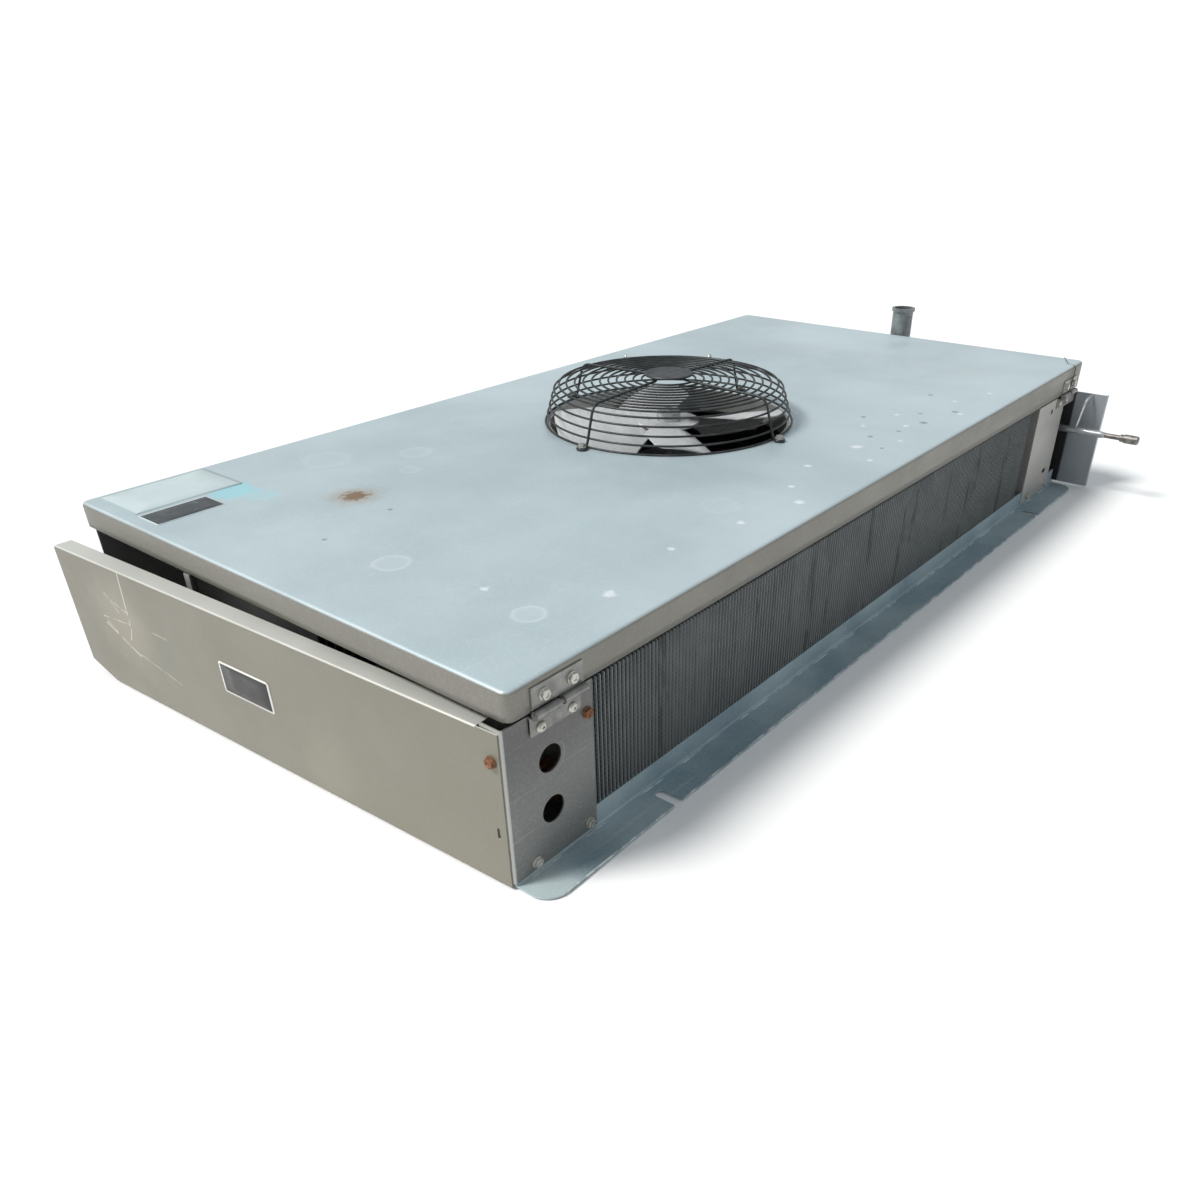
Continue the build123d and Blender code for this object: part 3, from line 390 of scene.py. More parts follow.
smallLooks = {
    "copperTube": {"metallic": 0.75, "dark": (0.30, 0.14, 0.08), "light": (0.62, 0.32, 0.19),
                   "grimeAndShade": (0.10, 0.08, 0.06), "smooth": 0.3, "rough": 0.5},
    "dullBrass": {"metallic": 0.8, "dark": (0.40, 0.30, 0.14), "light": (0.66, 0.52, 0.28),
                  "grimeAndShade": (0.12, 0.10, 0.06), "smooth": 0.28, "rough": 0.45},
    "blackWire": {"metallic": 0.25, "dark": (0.022, 0.026, 0.027), "light": (0.05, 0.055, 0.057),
                  "grimeAndShade": (0.10, 0.09, 0.08), "smooth": 0.33, "rough": 0.5, "pits": 0.25, "bump": 0.08},
    "badgeBlack": {"metallic": 0.2, "dark": (0.032, 0.036, 0.04), "light": (0.055, 0.06, 0.065),
                   "grimeAndShade": (0.13, 0.13, 0.13), "smooth": 0.38, "rough": 0.5, "pits": 0.2, "bump": 0.05,
                   "patchScale": 30.0},
    "bladeMetal": {"metallic": 0.3, "dark": (0.74, 0.75, 0.75), "light": (0.88, 0.89, 0.89),
                   "grimeAndShade": (0.25, 0.24, 0.22), "smooth": 0.3, "rough": 0.48, "pits": 0.2, "bump": 0.06,
                   "patchScale": 18.0},
    "motorBlack": {"metallic": 0.2, "dark": (0.02, 0.02, 0.021), "light": (0.045, 0.045, 0.046),
                   "grimeAndShade": (0.09, 0.085, 0.08), "smooth": 0.35, "rough": 0.55},
    "zincScrew": {"metallic": 0.7, "dark": (0.42, 0.41, 0.36), "light": (0.66, 0.65, 0.60),
                  "grimeAndShade": (0.18, 0.15, 0.11), "smooth": 0.25, "rough": 0.42},
    "rustySteel": {"metallic": 0.15, "dark": (0.10, 0.045, 0.022), "light": (0.34, 0.15, 0.07),
                   "grimeAndShade": (0.05, 0.028, 0.018), "smooth": 0.6, "rough": 0.85, "bump": 0.6,
                   "patchScale": 220.0},
    "hingeSteel": {"metallic": 0.4, "dark": (0.20, 0.20, 0.187), "light": (0.32, 0.32, 0.30),
                   "grimeAndShade": (0.2, 0.19, 0.17), "smooth": 0.28, "rough": 0.45, "pits": 0.3},
    "drainSteel": {"metallic": 0.4, "dark": (0.16, 0.175, 0.18), "light": (0.26, 0.28, 0.285),
                   "grimeAndShade": (0.12, 0.12, 0.12), "smooth": 0.32, "rough": 0.5},
    "steelTube": {"metallic": 0.7, "dark": (0.42, 0.44, 0.45), "light": (0.62, 0.64, 0.65),
                  "grimeAndShade": (0.20, 0.21, 0.21), "smooth": 0.28, "rough": 0.48},
    "terminalPlastic": {"metallic": 0.0, "dark": (0.03, 0.03, 0.03), "light": (0.06, 0.06, 0.06),
                        "grimeAndShade": (0.10, 0.10, 0.09), "smooth": 0.45, "rough": 0.6},
    "agedPipe": {"metallic": 0.6, "dark": (0.13, 0.12, 0.11), "light": (0.33, 0.31, 0.29),
                 "grimeAndShade": (0.06, 0.05, 0.045), "smooth": 0.3, "rough": 0.55, "patchScale": 90.0},
}
small = {name: turnedMetal(name, look) for name, look in smallLooks.items()}


finTints = {"body": (0.075, 0.086, 0.09), "rim": (0.50, 0.53, 0.53), "paintedDepthShade": (0.04, 0.045, 0.046),
            "far": (0.24, 0.26, 0.265), "band": (0.26, 0.28, 0.28), "streak": (0.05, 0.052, 0.05),
            "line": (0.30, 0.32, 0.32), "dust": (0.33, 0.33, 0.31), "lineStep": 0.0042}


def finMaterial():
    # fins: painted highlight on the rims at the face, painted shade deeper inside, faint level lines and slow
    # bands along the coil
    material, tree, shader = newMaterial("finAluminium", 0.35)
    axes = objectAxes(tree)
    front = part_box("coil_fins")[0][1]
    # painted light: the rim colour is a painted highlight on the fins' front edges, and the deeper colour is
    # painted shade between the fins
    rim = step(tree, axes["Y"], front + 0.0013, front + 0.0005)
    paintedDepthShade = step(tree, axes["Y"], front + 0.001, front + 0.006)
    colour = mixColour(tree, rim, finTints["body"], finTints["rim"])
    colour = mixColour(tree, paintedDepthShade, colour, finTints["paintedDepthShade"])
    far = step(tree, axes["X"], -0.45, 0.37, 0.0, 0.62)
    colour = mixColour(tree, far, colour, finTints["far"])
    bands = step(tree, noise(tree, 7.0, 3.0, 0.6, (1, 0, 0.03)), 0.42, 0.6)
    colour = laid(tree, colour, bands, 0.4, finTints["band"])
    streaks = step(tree, noise(tree, 60.0, 4.0, 0.7, (1, 0, 0.1)), 0.58, 0.66)
    colour = laid(tree, colour, streaks, 0.55, finTints["streak"])
    lines = calc(tree, "SINE", times(tree, axes["Z"], 2 * math.pi / finTints["lineStep"]))
    colour = mixColour(tree, step(tree, lines, 0.2, 1.0, 0.0, 0.22), colour, finTints["line"])
    dust = step(tree, noise(tree, 160.0, 5.0, 0.8), 0.6, 0.7)
    colour = laid(tree, colour, dust, 0.3, finTints["dust"])
    roughness = step(tree, noise(tree, 40.0), 0.3, 0.7, 0.4, 0.6)
    finishMaterial(tree, shader, colour, roughness, lines, 0.15, 0.0003)
    return material


def plateMaterial(name, body, border, inner, outer):
    # a blank printed plate: an even field, a paler border and rubbed places; box edges in metres
    material, tree, shader = newMaterial(name, 0.05)
    wear = step(tree, noise(tree, 90.0, 5.0, 0.75), 0.55, 0.68)
    tone = mixColour(tree, noise(tree, 30.0, 3.0), body, [c * 1.15 for c in body])
    axes = objectAxes(tree)
    edge = None
    for axis, low, high in inner:
        near = step(tree, axes[axis], low + 0.0003, low)
        far = step(tree, axes[axis], high - 0.0003, high)
        both = calc(tree, "MAXIMUM", near, far)
        edge = both if edge is None else calc(tree, "MAXIMUM", edge, both)
    colour = mixColour(tree, edge, tone, border)
    colour = laid(tree, colour, wear, 0.35, outer)
    roughness = step(tree, noise(tree, 40.0), 0.3, 0.7, 0.3, 0.5)
    finishMaterial(tree, shader, colour, roughness, wear, 0.1, 0.0002)
    return material


def floorMaterial():
    # matt white with a faint tone drift
    material, tree, shader = newMaterial("paleFloor", 0.0)
    colour = mixColour(tree, noise(tree, 3.0), (0.93, 0.93, 0.93), (0.945, 0.945, 0.945))
    roughness = step(tree, noise(tree, 5.0), 0.3, 0.7, 0.85, 0.95)
    finishMaterial(tree, shader, colour, roughness, noise(tree, 300.0), 0.02, 0.0005)
    return material


finAluminium = finMaterial()
print("materials made")


# ---- floor and sky ----

bpy.ops.mesh.primitive_plane_add(size=60, location=(0, 0, -0.0014))
floor = bpy.context.object
floor.name = "floor"
floor.data.materials.append(floorMaterial())

world = bpy.data.worlds.new("sky")
bpy.context.scene.world = world
world.use_nodes = True
skyTree = world.node_tree
background = skyTree.nodes["Background"]
skyWay = addNode(skyTree, "ShaderNodeTexCoord").outputs["Generated"]
upward = addNode(skyTree, "ShaderNodeSeparateXYZ", {0: skyWay}).outputs["Z"]
skyColour = mixColour(skyTree, step(skyTree, upward, 0.05, 0.8), lightSet["skyEdge"], lightSet["skyTop"])
skyTree.links.new(skyColour, background.inputs["Color"])
brightness = addNode(skyTree, "ShaderNodeLightPath").outputs["Is Camera Ray"]
skyStrength = step(skyTree, brightness, 0.0, 1.0, lightSet["skyStrength"], lightSet["backdrop"])
skyTree.links.new(skyStrength, background.inputs["Strength"])


# ---- mesh helpers ----

def gridFaces(rows, columns, wrapRows=False, wrapColumns=False):
    # quads between neighbours on a grid of rows and columns
    r = np.arange(rows if wrapRows else rows - 1)[:, None]
    c = np.arange(columns if wrapColumns else columns - 1)[None, :]
    nextRow, nextColumn = (r + 1) % rows, (c + 1) % columns
    corners = (r * columns + c, r * columns + nextColumn,
               nextRow * columns + nextColumn, nextRow * columns + c)
    return np.stack([np.broadcast_to(k, (r.size, c.size)).ravel() for k in corners], 1).tolist()


def tube(path, radius, side, sides=10, closed=False):
    # a circle carried along the path; side is square to the path's plane
    path = np.asarray(path, float)
    along = np.roll(path, -1, 0) - np.roll(path, 1, 0) if closed else np.gradient(path, axis=0)
    along /= np.linalg.norm(along, axis=1, keepdims=True)
    side = np.broadcast_to(np.asarray(side, float), path.shape)
    other = np.cross(along, side)
    turn = np.linspace(0, 2 * np.pi, sides, endpoint=False)[None, :, None]
    radius = np.broadcast_to(np.asarray(radius, float), (len(path),))[:, None, None]
    points = path[:, None] + radius * (np.cos(turn) * side[:, None] + np.sin(turn) * other[:, None])
    faces = gridFaces(len(path), sides, closed, True)
    if not closed:
        faces += [list(range(sides))[::-1], list(range((len(path) - 1) * sides, len(path) * sides))]
    return points.reshape(-1, 3), faces


def joined(shapes):
    # several shapes as one set of points and faces
    points, faces, count = [], [], 0
    for shapePoints, shapeFaces in shapes:
        points.append(shapePoints)
        faces += [[k + count for k in face] for face in shapeFaces]
        count += len(shapePoints)
    return np.concatenate(points), faces


def addPiece(name, shape, body, material, smooth=True, closed=True):
    # a piece from points in millimetres, riding on a body
    points, faces = shape
    mesh = bpy.data.meshes.new(name)
    mesh.from_pydata((points * toMetres).tolist(), [], faces)
    if closed:
        form = bmesh.new()
        form.from_mesh(mesh)
        bmesh.ops.remove_doubles(form, verts=form.verts, dist=1e-6)
        bmesh.ops.recalc_face_normals(form, faces=form.faces)
        form.to_mesh(mesh)
        form.free()
    mesh.polygons.foreach_set("use_smooth", np.full(len(mesh.polygons), smooth))
    mesh.update()
    mesh.materials.append(material)
    piece = bpy.data.objects.new(name, mesh)
    bpy.context.scene.collection.objects.link(piece)
    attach(piece, body)
    return piece


# ---- drain pan ----

panForm = {"length": 1070.0, "width": 535.0, "corner": 7.0, "rim": 3.6, "bottom": 133.0, "nearTop": 155.0,
           "rise": 10.0, "hole": 132.0, "holeLip": 2.4, "lipCurve": ((0.25, 1.0), (0.9, 0.3), (2.0, 0.0)),
           "sheet": 1.2, "wave": 0.4, "longWave": 61, "wideWave": 47, "slantX": 29, "slantY": 38,
           "fanX": -12.0, "fanY": 9.0, "longSteps": 90, "shortSteps": 46, "cornerSteps": 7, "topSteps": 30}


def panTop(x):
    # height of the pan's top, rising evenly along its length
    return panForm["nearTop"] + panForm["rise"] * (x / panForm["length"] + 0.5)


def panOutline():
    # rounded rectangle: points on the corner arcs' centres plus the way outwards, arcs joined by sides
    halfX, halfY = panForm["length"] / 2 - panForm["corner"], panForm["width"] / 2 - panForm["corner"]
    centres, outward = [], []
    corners = ((halfX, halfY), (-halfX, halfY), (-halfX, -halfY), (halfX, -halfY))
    for k, (x, y) in enumerate(corners):
        turn = np.radians(90 * k + np.linspace(0, 90, panForm["cornerSteps"]))
        way = np.stack([np.cos(turn), np.sin(turn)], 1)
        nextX, nextY = corners[(k + 1) % 4]
        steps = panForm["longSteps"] if k % 2 == 0 else panForm["shortSteps"]
        share = np.linspace(0, 1, steps, endpoint=False)[1:, None]
        run = np.array([[x, y]]) * (1 - share) + np.array([[nextX, nextY]]) * share
        centres += [np.repeat([[x, y]], len(way), 0), run]
        outward += [way, np.repeat(way[-1:], len(run), 0)]
    return np.concatenate(centres), np.concatenate(outward)


def panShape():
    # rows from the fan hole's lip over the top, round the rim and down the skirt
    centres, outward = panOutline()
    corner, rim = panForm["corner"], panForm["rim"]
    middle = np.array([panForm["fanX"], panForm["fanY"]])
    inner = centres + outward * (corner - rim)
    ray = inner - middle
    ray /= np.linalg.norm(ray, axis=1, keepdims=True)
    rows = []
    for grow, drop in ((0.0, panForm["holeLip"]),) + panForm["lipCurve"]:
        flat = middle + ray * (panForm["hole"] + grow)
        rows.append(np.column_stack([flat, panTop(flat[:, 0]) - drop]))
    start = middle + ray * (panForm["hole"] + panForm["lipCurve"][-1][0])
    for share in np.linspace(0, 1, panForm["topSteps"] + 1)[1:]:
        flat = start * (1 - share) + inner * share
        x, y = flat[:, 0], flat[:, 1]
        fade = np.clip(min(share, 1 - share) * 6, 0, 1)
        ripple = (np.sin(x / panForm["longWave"] + 1.3) * np.cos(y / panForm["wideWave"] - 0.4)
                  + 0.6 * np.sin(x / panForm["slantX"] + y / panForm["slantY"]))
        rows.append(np.column_stack([flat, panTop(x) + panForm["wave"] * fade * ripple]))
    for turn in np.radians(np.linspace(0, 90, 7)[1:]):
        flat = inner + outward * rim * math.sin(turn)
        rows.append(np.column_stack([flat, panTop(flat[:, 0]) - rim * (1 - math.cos(turn))]))
    outer = inner + outward * rim
    top = panTop(outer[:, 0]) - rim
    for share in (0.35, 0.7, 1.0):
        rows.append(np.column_stack([outer, top * (1 - share) + panForm["bottom"] * share]))
    points = np.stack(rows)
    return points.reshape(-1, 3), gridFaces(len(rows), len(centres), False, True)


pan = addPiece("panShell", panShape(), "pan", galvanisedPan, closed=False)
if sum(face.normal.z * face.area for face in pan.data.polygons) < 0:
    pan.data.flip_normals()
wall = pan.modifiers.new("wall", "SOLIDIFY")
wall.thickness = panForm["sheet"] * toMetres
wall.offset = -1
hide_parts("drain_pan")
print("pan made")


# ---- fan guard ----

guardForm = {"base": 135.0, "shoulder": 122.0, "bend": 14.0, "height": 42.0, "crown": 3.0, "gap": 2.5,
             "badge": 26.0, "overlap": 4.0, "innerGap": 3.2, "ringWire": 1.1, "ribWire": 1.35,
             "ribSink": 1.3, "rings": 16, "ribs": 4,
             "foot": 143.0, "eyelet": 4.5, "eyeWire": 1.55, "eyeHeight": 1.6, "firstRing": 1.1,
             "lowestRing": 1.15, "ringSteps": 112}


def fanPlace(points):
    # from the fan's own frame, standing on the sloping pan, to the part's frame
    points = np.asarray(points, float)
    tilt = math.atan2(panForm["rise"], panForm["length"])
    x, y, z = points[..., 0], points[..., 1], points[..., 2]
    return np.stack([panForm["fanX"] + x * math.cos(tilt) - z * math.sin(tilt), panForm["fanY"] + y,
                     panTop(panForm["fanX"]) + x * math.sin(tilt) + z * math.cos(tilt)], -1)


def ribLine(count=260):
    # radius and height along a rib: a leaning side, an arc at the shoulder and the crowned top
    a = np.array([guardForm["base"] + guardForm["gap"], 0.2])
    b = np.array([guardForm["shoulder"] + guardForm["gap"], guardForm["height"]])
    c = np.array([guardForm["badge"] - guardForm["overlap"], guardForm["height"] + guardForm["crown"]])
    toA, toC = (a - b) / np.linalg.norm(a - b), (c - b) / np.linalg.norm(c - b)
    half = math.acos(toA @ toC) / 2
    reach = guardForm["bend"] / math.tan(half)
    way = (toA + toC) / np.linalg.norm(toA + toC)
    centre = b + way * guardForm["bend"] / math.sin(half)
    first, last = b + toA * reach - centre, b + toC * reach - centre
    angles = np.linspace(math.atan2(first[1], first[0]), math.atan2(last[1], last[0]), 24)
    arc = centre + guardForm["bend"] * np.stack([np.cos(angles), np.sin(angles)], 1)
    line = np.concatenate([[a], arc, [c]])
    length = np.concatenate([[0], np.cumsum(np.linalg.norm(np.diff(line, axis=0), axis=1))])
    even = np.linspace(0, length[-1], count)
    return np.stack([np.interp(even, length, line[:, 0]), np.interp(even, length, line[:, 1])], 1), length[-1]


line, lineLength = ribLine()
slope = np.gradient(line, axis=0)
slope /= np.linalg.norm(slope, axis=1, keepdims=True)


def fanWays(turn):
    # unit ways from the fan's axis outwards and round it
    return np.array([math.cos(turn), math.sin(turn), 0]), np.array([-math.sin(turn), math.cos(turn), 0])


def ringShapes():
    # circles inside the ribs, at even steps along the rib's line
    innerEnd = guardForm["innerGap"] + guardForm["overlap"]
    shares = np.linspace(guardForm["firstRing"] / lineLength, 1 - innerEnd / lineLength, guardForm["rings"])
    spots = shares * (len(line) - 1)
    radii = np.interp(spots, range(len(line)), line[:, 0] - np.abs(slope[:, 1]) * guardForm["gap"])
    heights = np.interp(spots, range(len(line)), line[:, 1] - np.abs(slope[:, 0]) * guardForm["gap"])
    around = np.linspace(0, 2 * np.pi, guardForm["ringSteps"], endpoint=False)
    rings = []
    for radius, height in zip(radii, np.maximum(heights, guardForm["lowestRing"])):
        circle = np.stack([radius * np.cos(around), radius * np.sin(around), np.full(len(around), height)], 1)
        points, faces = tube(circle, guardForm["ringWire"], (0, 0, 1), 8, True)
        rings.append((fanPlace(points), faces))
    return joined(rings)


def ribShapes():
    # wires along the rib's line, sunk towards the rings, each with an eyelet round its screw
    inward = np.stack([-np.abs(slope[:, 1]), -np.abs(slope[:, 0])], 1)
    sunk = line + inward * guardForm["ribSink"] * np.clip(np.arange(len(line)) / 12, 0, 1)[:, None]
    kept = np.concatenate([[0, 2], np.arange(6, 120, 3), np.arange(120, 260, 14), [259]])
    coarse = sunk[np.unique(kept)]
    eyeTurn = np.linspace(0, 2 * np.pi, 20, endpoint=False)
    eyeRound = guardForm["eyelet"] * np.stack([np.cos(eyeTurn), np.sin(eyeTurn), np.zeros(20)], 1)
    ribs = []
    for k in range(guardForm["ribs"]):
        out, across = fanWays(2 * math.pi * k / guardForm["ribs"])
        path = coarse[:, :1] * out + coarse[:, 1:] * np.array([0, 0, 1.0])
        points, faces = tube(path, guardForm["ribWire"], across, 10)
        ribs.append((fanPlace(points), faces))
        eye = guardForm["foot"] * out + eyeRound + np.array([0, 0, guardForm["eyeHeight"]])
        points, faces = tube(eye, guardForm["eyeWire"], (0, 0, 1), 8, True)
        ribs.append((fanPlace(points), faces))
    return joined(ribs)


guardRings = addPiece("guardRings", ringShapes(), "pan", small["blackWire"])
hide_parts("guard_rings")
guardRibs = addPiece("guardRibs", ribShapes(), "pan", small["blackWire"])
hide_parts("guard_ribs")

clipForm = {"turns": (62.0, 14.0), "radius": 122.0, "height": 37.0, "wide": 2.6, "tall": 4.6, "wire": 1.5,
            "bow": (-60, 240), "steps": 15}


def clipShapes():
    # open oval loops of bright wire that stand on the back of the shoulder
    clips = []
    for degrees in clipForm["turns"]:
        out, across = fanWays(math.radians(degrees))
        bow = np.radians(np.linspace(*clipForm["bow"], clipForm["steps"]))
        spine = ((clipForm["radius"] + clipForm["wide"] * np.cos(bow))[:, None] * out
                 + (clipForm["height"] + clipForm["tall"] * np.sin(bow))[:, None] * np.array([0, 0, 1.0]))
        points, faces = tube(spine, clipForm["wire"], across, 8)
        clips.append((fanPlace(points), faces))
    return joined(clips)


addPiece("guardClips", clipShapes(), "pan", small["zincScrew"])
print("guard made")


# ---- fan blades, at the turn where they stopped, their hand turned round ----

bladeTurn = 9.4


def sharpCorners(piece, degrees):
    # faces that meet at more than an angle are shaded apart
    piece.modifiers.new("corners", "EDGE_SPLIT").split_angle = math.radians(degrees)


def movedCopy(node, change):
    # a CAD node's merged mesh with its points changed, as points in millimetres and faces
    form = bmesh.new()
    form.from_mesh(nodes[node].data)
    bmesh.ops.remove_doubles(form, verts=form.verts, dist=1e-6)
    form.verts.index_update()
    points = np.array([tuple(v.co) for v in form.verts]) / toMetres
    faces = [[v.index for v in face.verts] for face in form.faces]
    form.free()
    return change(points), faces


def turnedFan(points):
    # the blades pitched the other way and turned about the fan's own tilted axis
    tilt = math.atan2(panForm["rise"], panForm["length"])
    x, y, z = (points - np.array([panForm["fanX"], panForm["fanY"], panTop(panForm["fanX"])])).T
    localX = x * math.cos(tilt) + z * math.sin(tilt)
    localZ = -x * math.sin(tilt) + z * math.cos(tilt)
    y = -y
    turn = math.radians(bladeTurn)
    return fanPlace(np.stack([localX * math.cos(turn) - y * math.sin(turn),
                              localX * math.sin(turn) + y * math.cos(turn), localZ], 1))


bladePoints, bladeFaces = movedCopy("fan_blades", turnedFan)
fanBlades = addPiece("fanBlades", (bladePoints, [face[::-1] for face in bladeFaces]), "fan",
                     small["bladeMetal"])
sharpCorners(fanBlades, 35)
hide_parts("fan_blades")


# ---- front rail ----

railSlide = {"far": 539.0, "shift": -7.0}


def slidRail(points):
    # drawn towards the wiring end, less and less to the pipe end, where it keeps its place
    moved = points.copy()
    share = (railSlide["far"] - points[:, 0]) / (2 * railSlide["far"])
    moved[:, 0] += railSlide["shift"] * np.clip(share, 0, 1)
    return moved


frontRail = addPiece("frontRailSheet", movedCopy("front_rail", slidRail), "cabinet",
                     galvanisedRail)
sharpCorners(frontRail, 35)
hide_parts("front_rail")


# ---- coil fins ----

finForm = {"count": 196, "thickness": 0.3, "depths": (0.0, 0.9, 2.2, 3.6, 5.4, 18.0, 42.0, 66.0),
           "ripple": (-0.1, 0.5, -0.3, 0.34, -0.3, 0.3, -0.3, 0.0), "lean": 0.14, "leanDepth": 14.0}


def finShape():
    # each fin is a thin closed plate rippled in depth; one grid of loops at three heights
    low, high = (np.array(corner) * 1000 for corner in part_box("coil_fins"))
    half = finForm["thickness"] / 2
    depths, ripple = np.array(finForm["depths"]), np.array(finForm["ripple"])
    loopY = np.concatenate([depths, depths[::-1]])
    loopX = np.concatenate([ripple - half, (ripple + half)[::-1]])
    heights = np.array([low[2], (low[2] + high[2]) / 2, high[2]])
    random = np.random.default_rng(7)
    middles = np.linspace(low[0] + half, high[0] - half, finForm["count"])
    lean = random.normal(0, finForm["lean"], (finForm["count"], 3)) * np.array([0.4, 1.0, 0.4])
    lean[[0, -1]] = 0
    fading = np.exp(-loopY / finForm["leanDepth"])
    x = middles[:, None, None] + loopX[None, None, :] + lean[:, :, None] * fading[None, None, :]
    x = np.clip(x, low[0], high[0])
    y = np.broadcast_to(low[1] + loopY, x.shape)
    z = np.broadcast_to(heights[None, :, None], x.shape)
    points = np.stack([x, y, z], -1).reshape(-1, 3)
    loop, n = len(loopY), len(depths)
    sides = gridFaces(3, loop, False, True)
    caps = []
    for row in (0, 2):
        caps += [[row * loop + k, row * loop + k + 1, row * loop + loop - 2 - k, row * loop + loop - 1 - k]
                 for k in range(n - 1)]
    one = sides + caps
    size = 3 * loop
    faces = [[v + size * k for v in face] for k in range(finForm["count"]) for face in one]
    return points, faces


coilFins = addPiece("coilFins", finShape(), "cabinet", finAluminium, smooth=False)
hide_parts("coil_fins")
print("fins made")


# ---- sheet pieces near the wiring end ----

def flatSheet(outer, holes, thickness):
    # a sheet from an outline and holes in its own plane; the third value runs from 0 to thickness
    curve = bpy.data.curves.new("outline", "CURVE")
    curve.dimensions = "2D"
    curve.fill_mode = "BOTH"
    curve.extrude = thickness / 2
    for loop in [outer] + holes:
        spline = curve.splines.new("POLY")
        spline.points.add(len(loop) - 1)
        values = np.column_stack([loop, np.zeros(len(loop)), np.ones(len(loop))])
        spline.points.foreach_set("co", values.ravel())
        spline.use_cyclic_u = True
    maker = bpy.data.objects.new("outline", curve)
    bpy.context.scene.collection.objects.link(maker)
    mesh = bpy.data.meshes.new_from_object(maker.evaluated_get(bpy.context.evaluated_depsgraph_get()))
    points = np.empty(len(mesh.vertices) * 3)
    mesh.vertices.foreach_get("co", points)
    points = points.reshape(-1, 3) + np.array([0, 0, thickness / 2])
    faces = [list(face.vertices) for face in mesh.polygons]
    bpy.data.objects.remove(maker)
    bpy.data.curves.remove(curve)
    bpy.data.meshes.remove(mesh)
    return points, faces


def roundHole(x, y, radius, steps=40):
    # a circle as even steps round its centre
    turn = np.linspace(0, 2 * np.pi, steps, endpoint=False)
    return np.stack([x + radius * np.cos(turn), y + radius * np.sin(turn)], 1)


def slotHole(x, low, high, radius, steps=10):
    # an upright slot with round ends
    turn = np.linspace(0, np.pi, steps)
    upper = np.stack([x + radius * np.cos(turn), high - radius + radius * np.sin(turn)], 1)
    lower = np.stack([x - radius * np.cos(turn), low + radius - radius * np.sin(turn)], 1)
    return np.concatenate([upper, lower])


def boxShape(low, high):
    # a plain block between two corners, for folded tabs
    corners = np.array([[(low, high)[k][0], (low, high)[j][1], (low, high)[i][2]]
                        for i in (0, 1) for j in (0, 1) for k in (0, 1)], float)
    return corners, [[0, 1, 3, 2], [4, 6, 7, 5], [0, 4, 5, 1], [2, 3, 7, 6], [0, 2, 6, 4], [1, 5, 7, 3]]


def bent(section, length, steps=2):
    # a strip of sheet: the section's inner and outer line carried along a straight length
    count = len(section)
    runs = np.linspace(length[0], length[1], steps)
    points = np.concatenate([np.column_stack([np.full(count, run), section]) for run in runs])
    faces = gridFaces(steps, count, False, True)
    last = (steps - 1) * count
    half = count // 2
    for start in (0, last):
        faces += [[start + k, start + k + 1, start + count - 2 - k, start + count - 1 - k]
                  for k in range(half - 1)]
    return points, faces


coverForm = {"x": -539.05, "y": -256.0, "swing": 3.2, "front": -5.6, "back": 518.0, "low": 1.0, "top": 126.0,
             "bend": 2.2, "sheet": 1.2, "flange": 16.0, "flangeStart": 13.0, "chamferLength": 33.0,
             "chamferHeight": 13.0, "screwHeight": 103.5, "screwIn": 1.4, "slot": (40.5, 50.0),
             "holeRadius": 2.3, "slotRadius": 1.3}
swing = math.radians(coverForm["swing"])
coverWay, coverOut = (-math.sin(swing), math.cos(swing), 0), (-math.cos(swing), -math.sin(swing), 0)


def coverPlace(points):
    # from length, outward and height on the sprung cover to the part's frame
    origin = np.array([coverForm["x"], coverForm["y"], 0])
    return (origin + points[:, :1] * np.array(coverWay) + points[:, 1:2] * np.array(coverOut)
            + points[:, 2:] * np.array([0, 0, 1.0]))


def bendSection(radius, sheet, reach):
    # outer then inner line of a square fold: outward and height measured from the fold's corner
    turn = np.radians(np.linspace(0, 90, 7))
    outer = np.stack([radius * np.cos(turn) - radius, radius * np.sin(turn) - radius], 1)
    inner = np.stack([(radius - sheet) * np.cos(turn) - radius, (radius - sheet) * np.sin(turn) - radius], 1)
    return np.concatenate([outer, [[-reach, 0]], [[-reach, -sheet]], inner[::-1]])


def coverShape():
    # the face with its screw hole and slot, the folded top flange and the closed back end
    form = coverForm
    foldTop = form["top"] - form["bend"]
    outline = np.array([(form["front"], form["low"]), (form["back"] - form["chamferLength"], form["low"]),
                        (form["back"], form["low"] + form["chamferHeight"]), (form["back"], foldTop),
                        (form["flangeStart"], foldTop), (form["flangeStart"], form["top"]),
                        (form["front"], form["top"])])
    holes = [roundHole(form["screwIn"], form["screwHeight"], form["holeRadius"]),
             slotHole(form["screwIn"], *form["slot"], form["slotRadius"])]
    points, faces = flatSheet(outline, holes, form["sheet"])
    face = points[:, [0, 2, 1]]
    section = bendSection(form["bend"], form["sheet"], form["flange"]) + np.array([form["sheet"], form["top"]])
    fold, foldFaces = bent(section, (form["flangeStart"], form["back"]), 3)
    end = boxShape((form["back"] - form["sheet"], form["sheet"] - form["flange"],
                    form["low"] + form["chamferHeight"]), (form["back"], 0.0, form["top"] - form["sheet"]))
    points, faces = joined([(face, faces), (fold, foldFaces), end])
    return coverPlace(points), faces


nearCover = addPiece("nearCoverSheet", coverShape(), "cabinet", galvanisedCover,
                     smooth=False)
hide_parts("near_cover")

plateForm = {"left": -538.7, "right": -454.0, "front": -264.0, "low": 3.8, "top": 128.5, "sheet": 1.2,
             "bend": 2.2, "lip": 19.0, "holes": ((-497.5, 45.0), (-497.5, 87.0)), "holeRadius": 10.6,
             "ringRadius": 13.4, "ringWire": 0.55, "ringSink": 0.3}


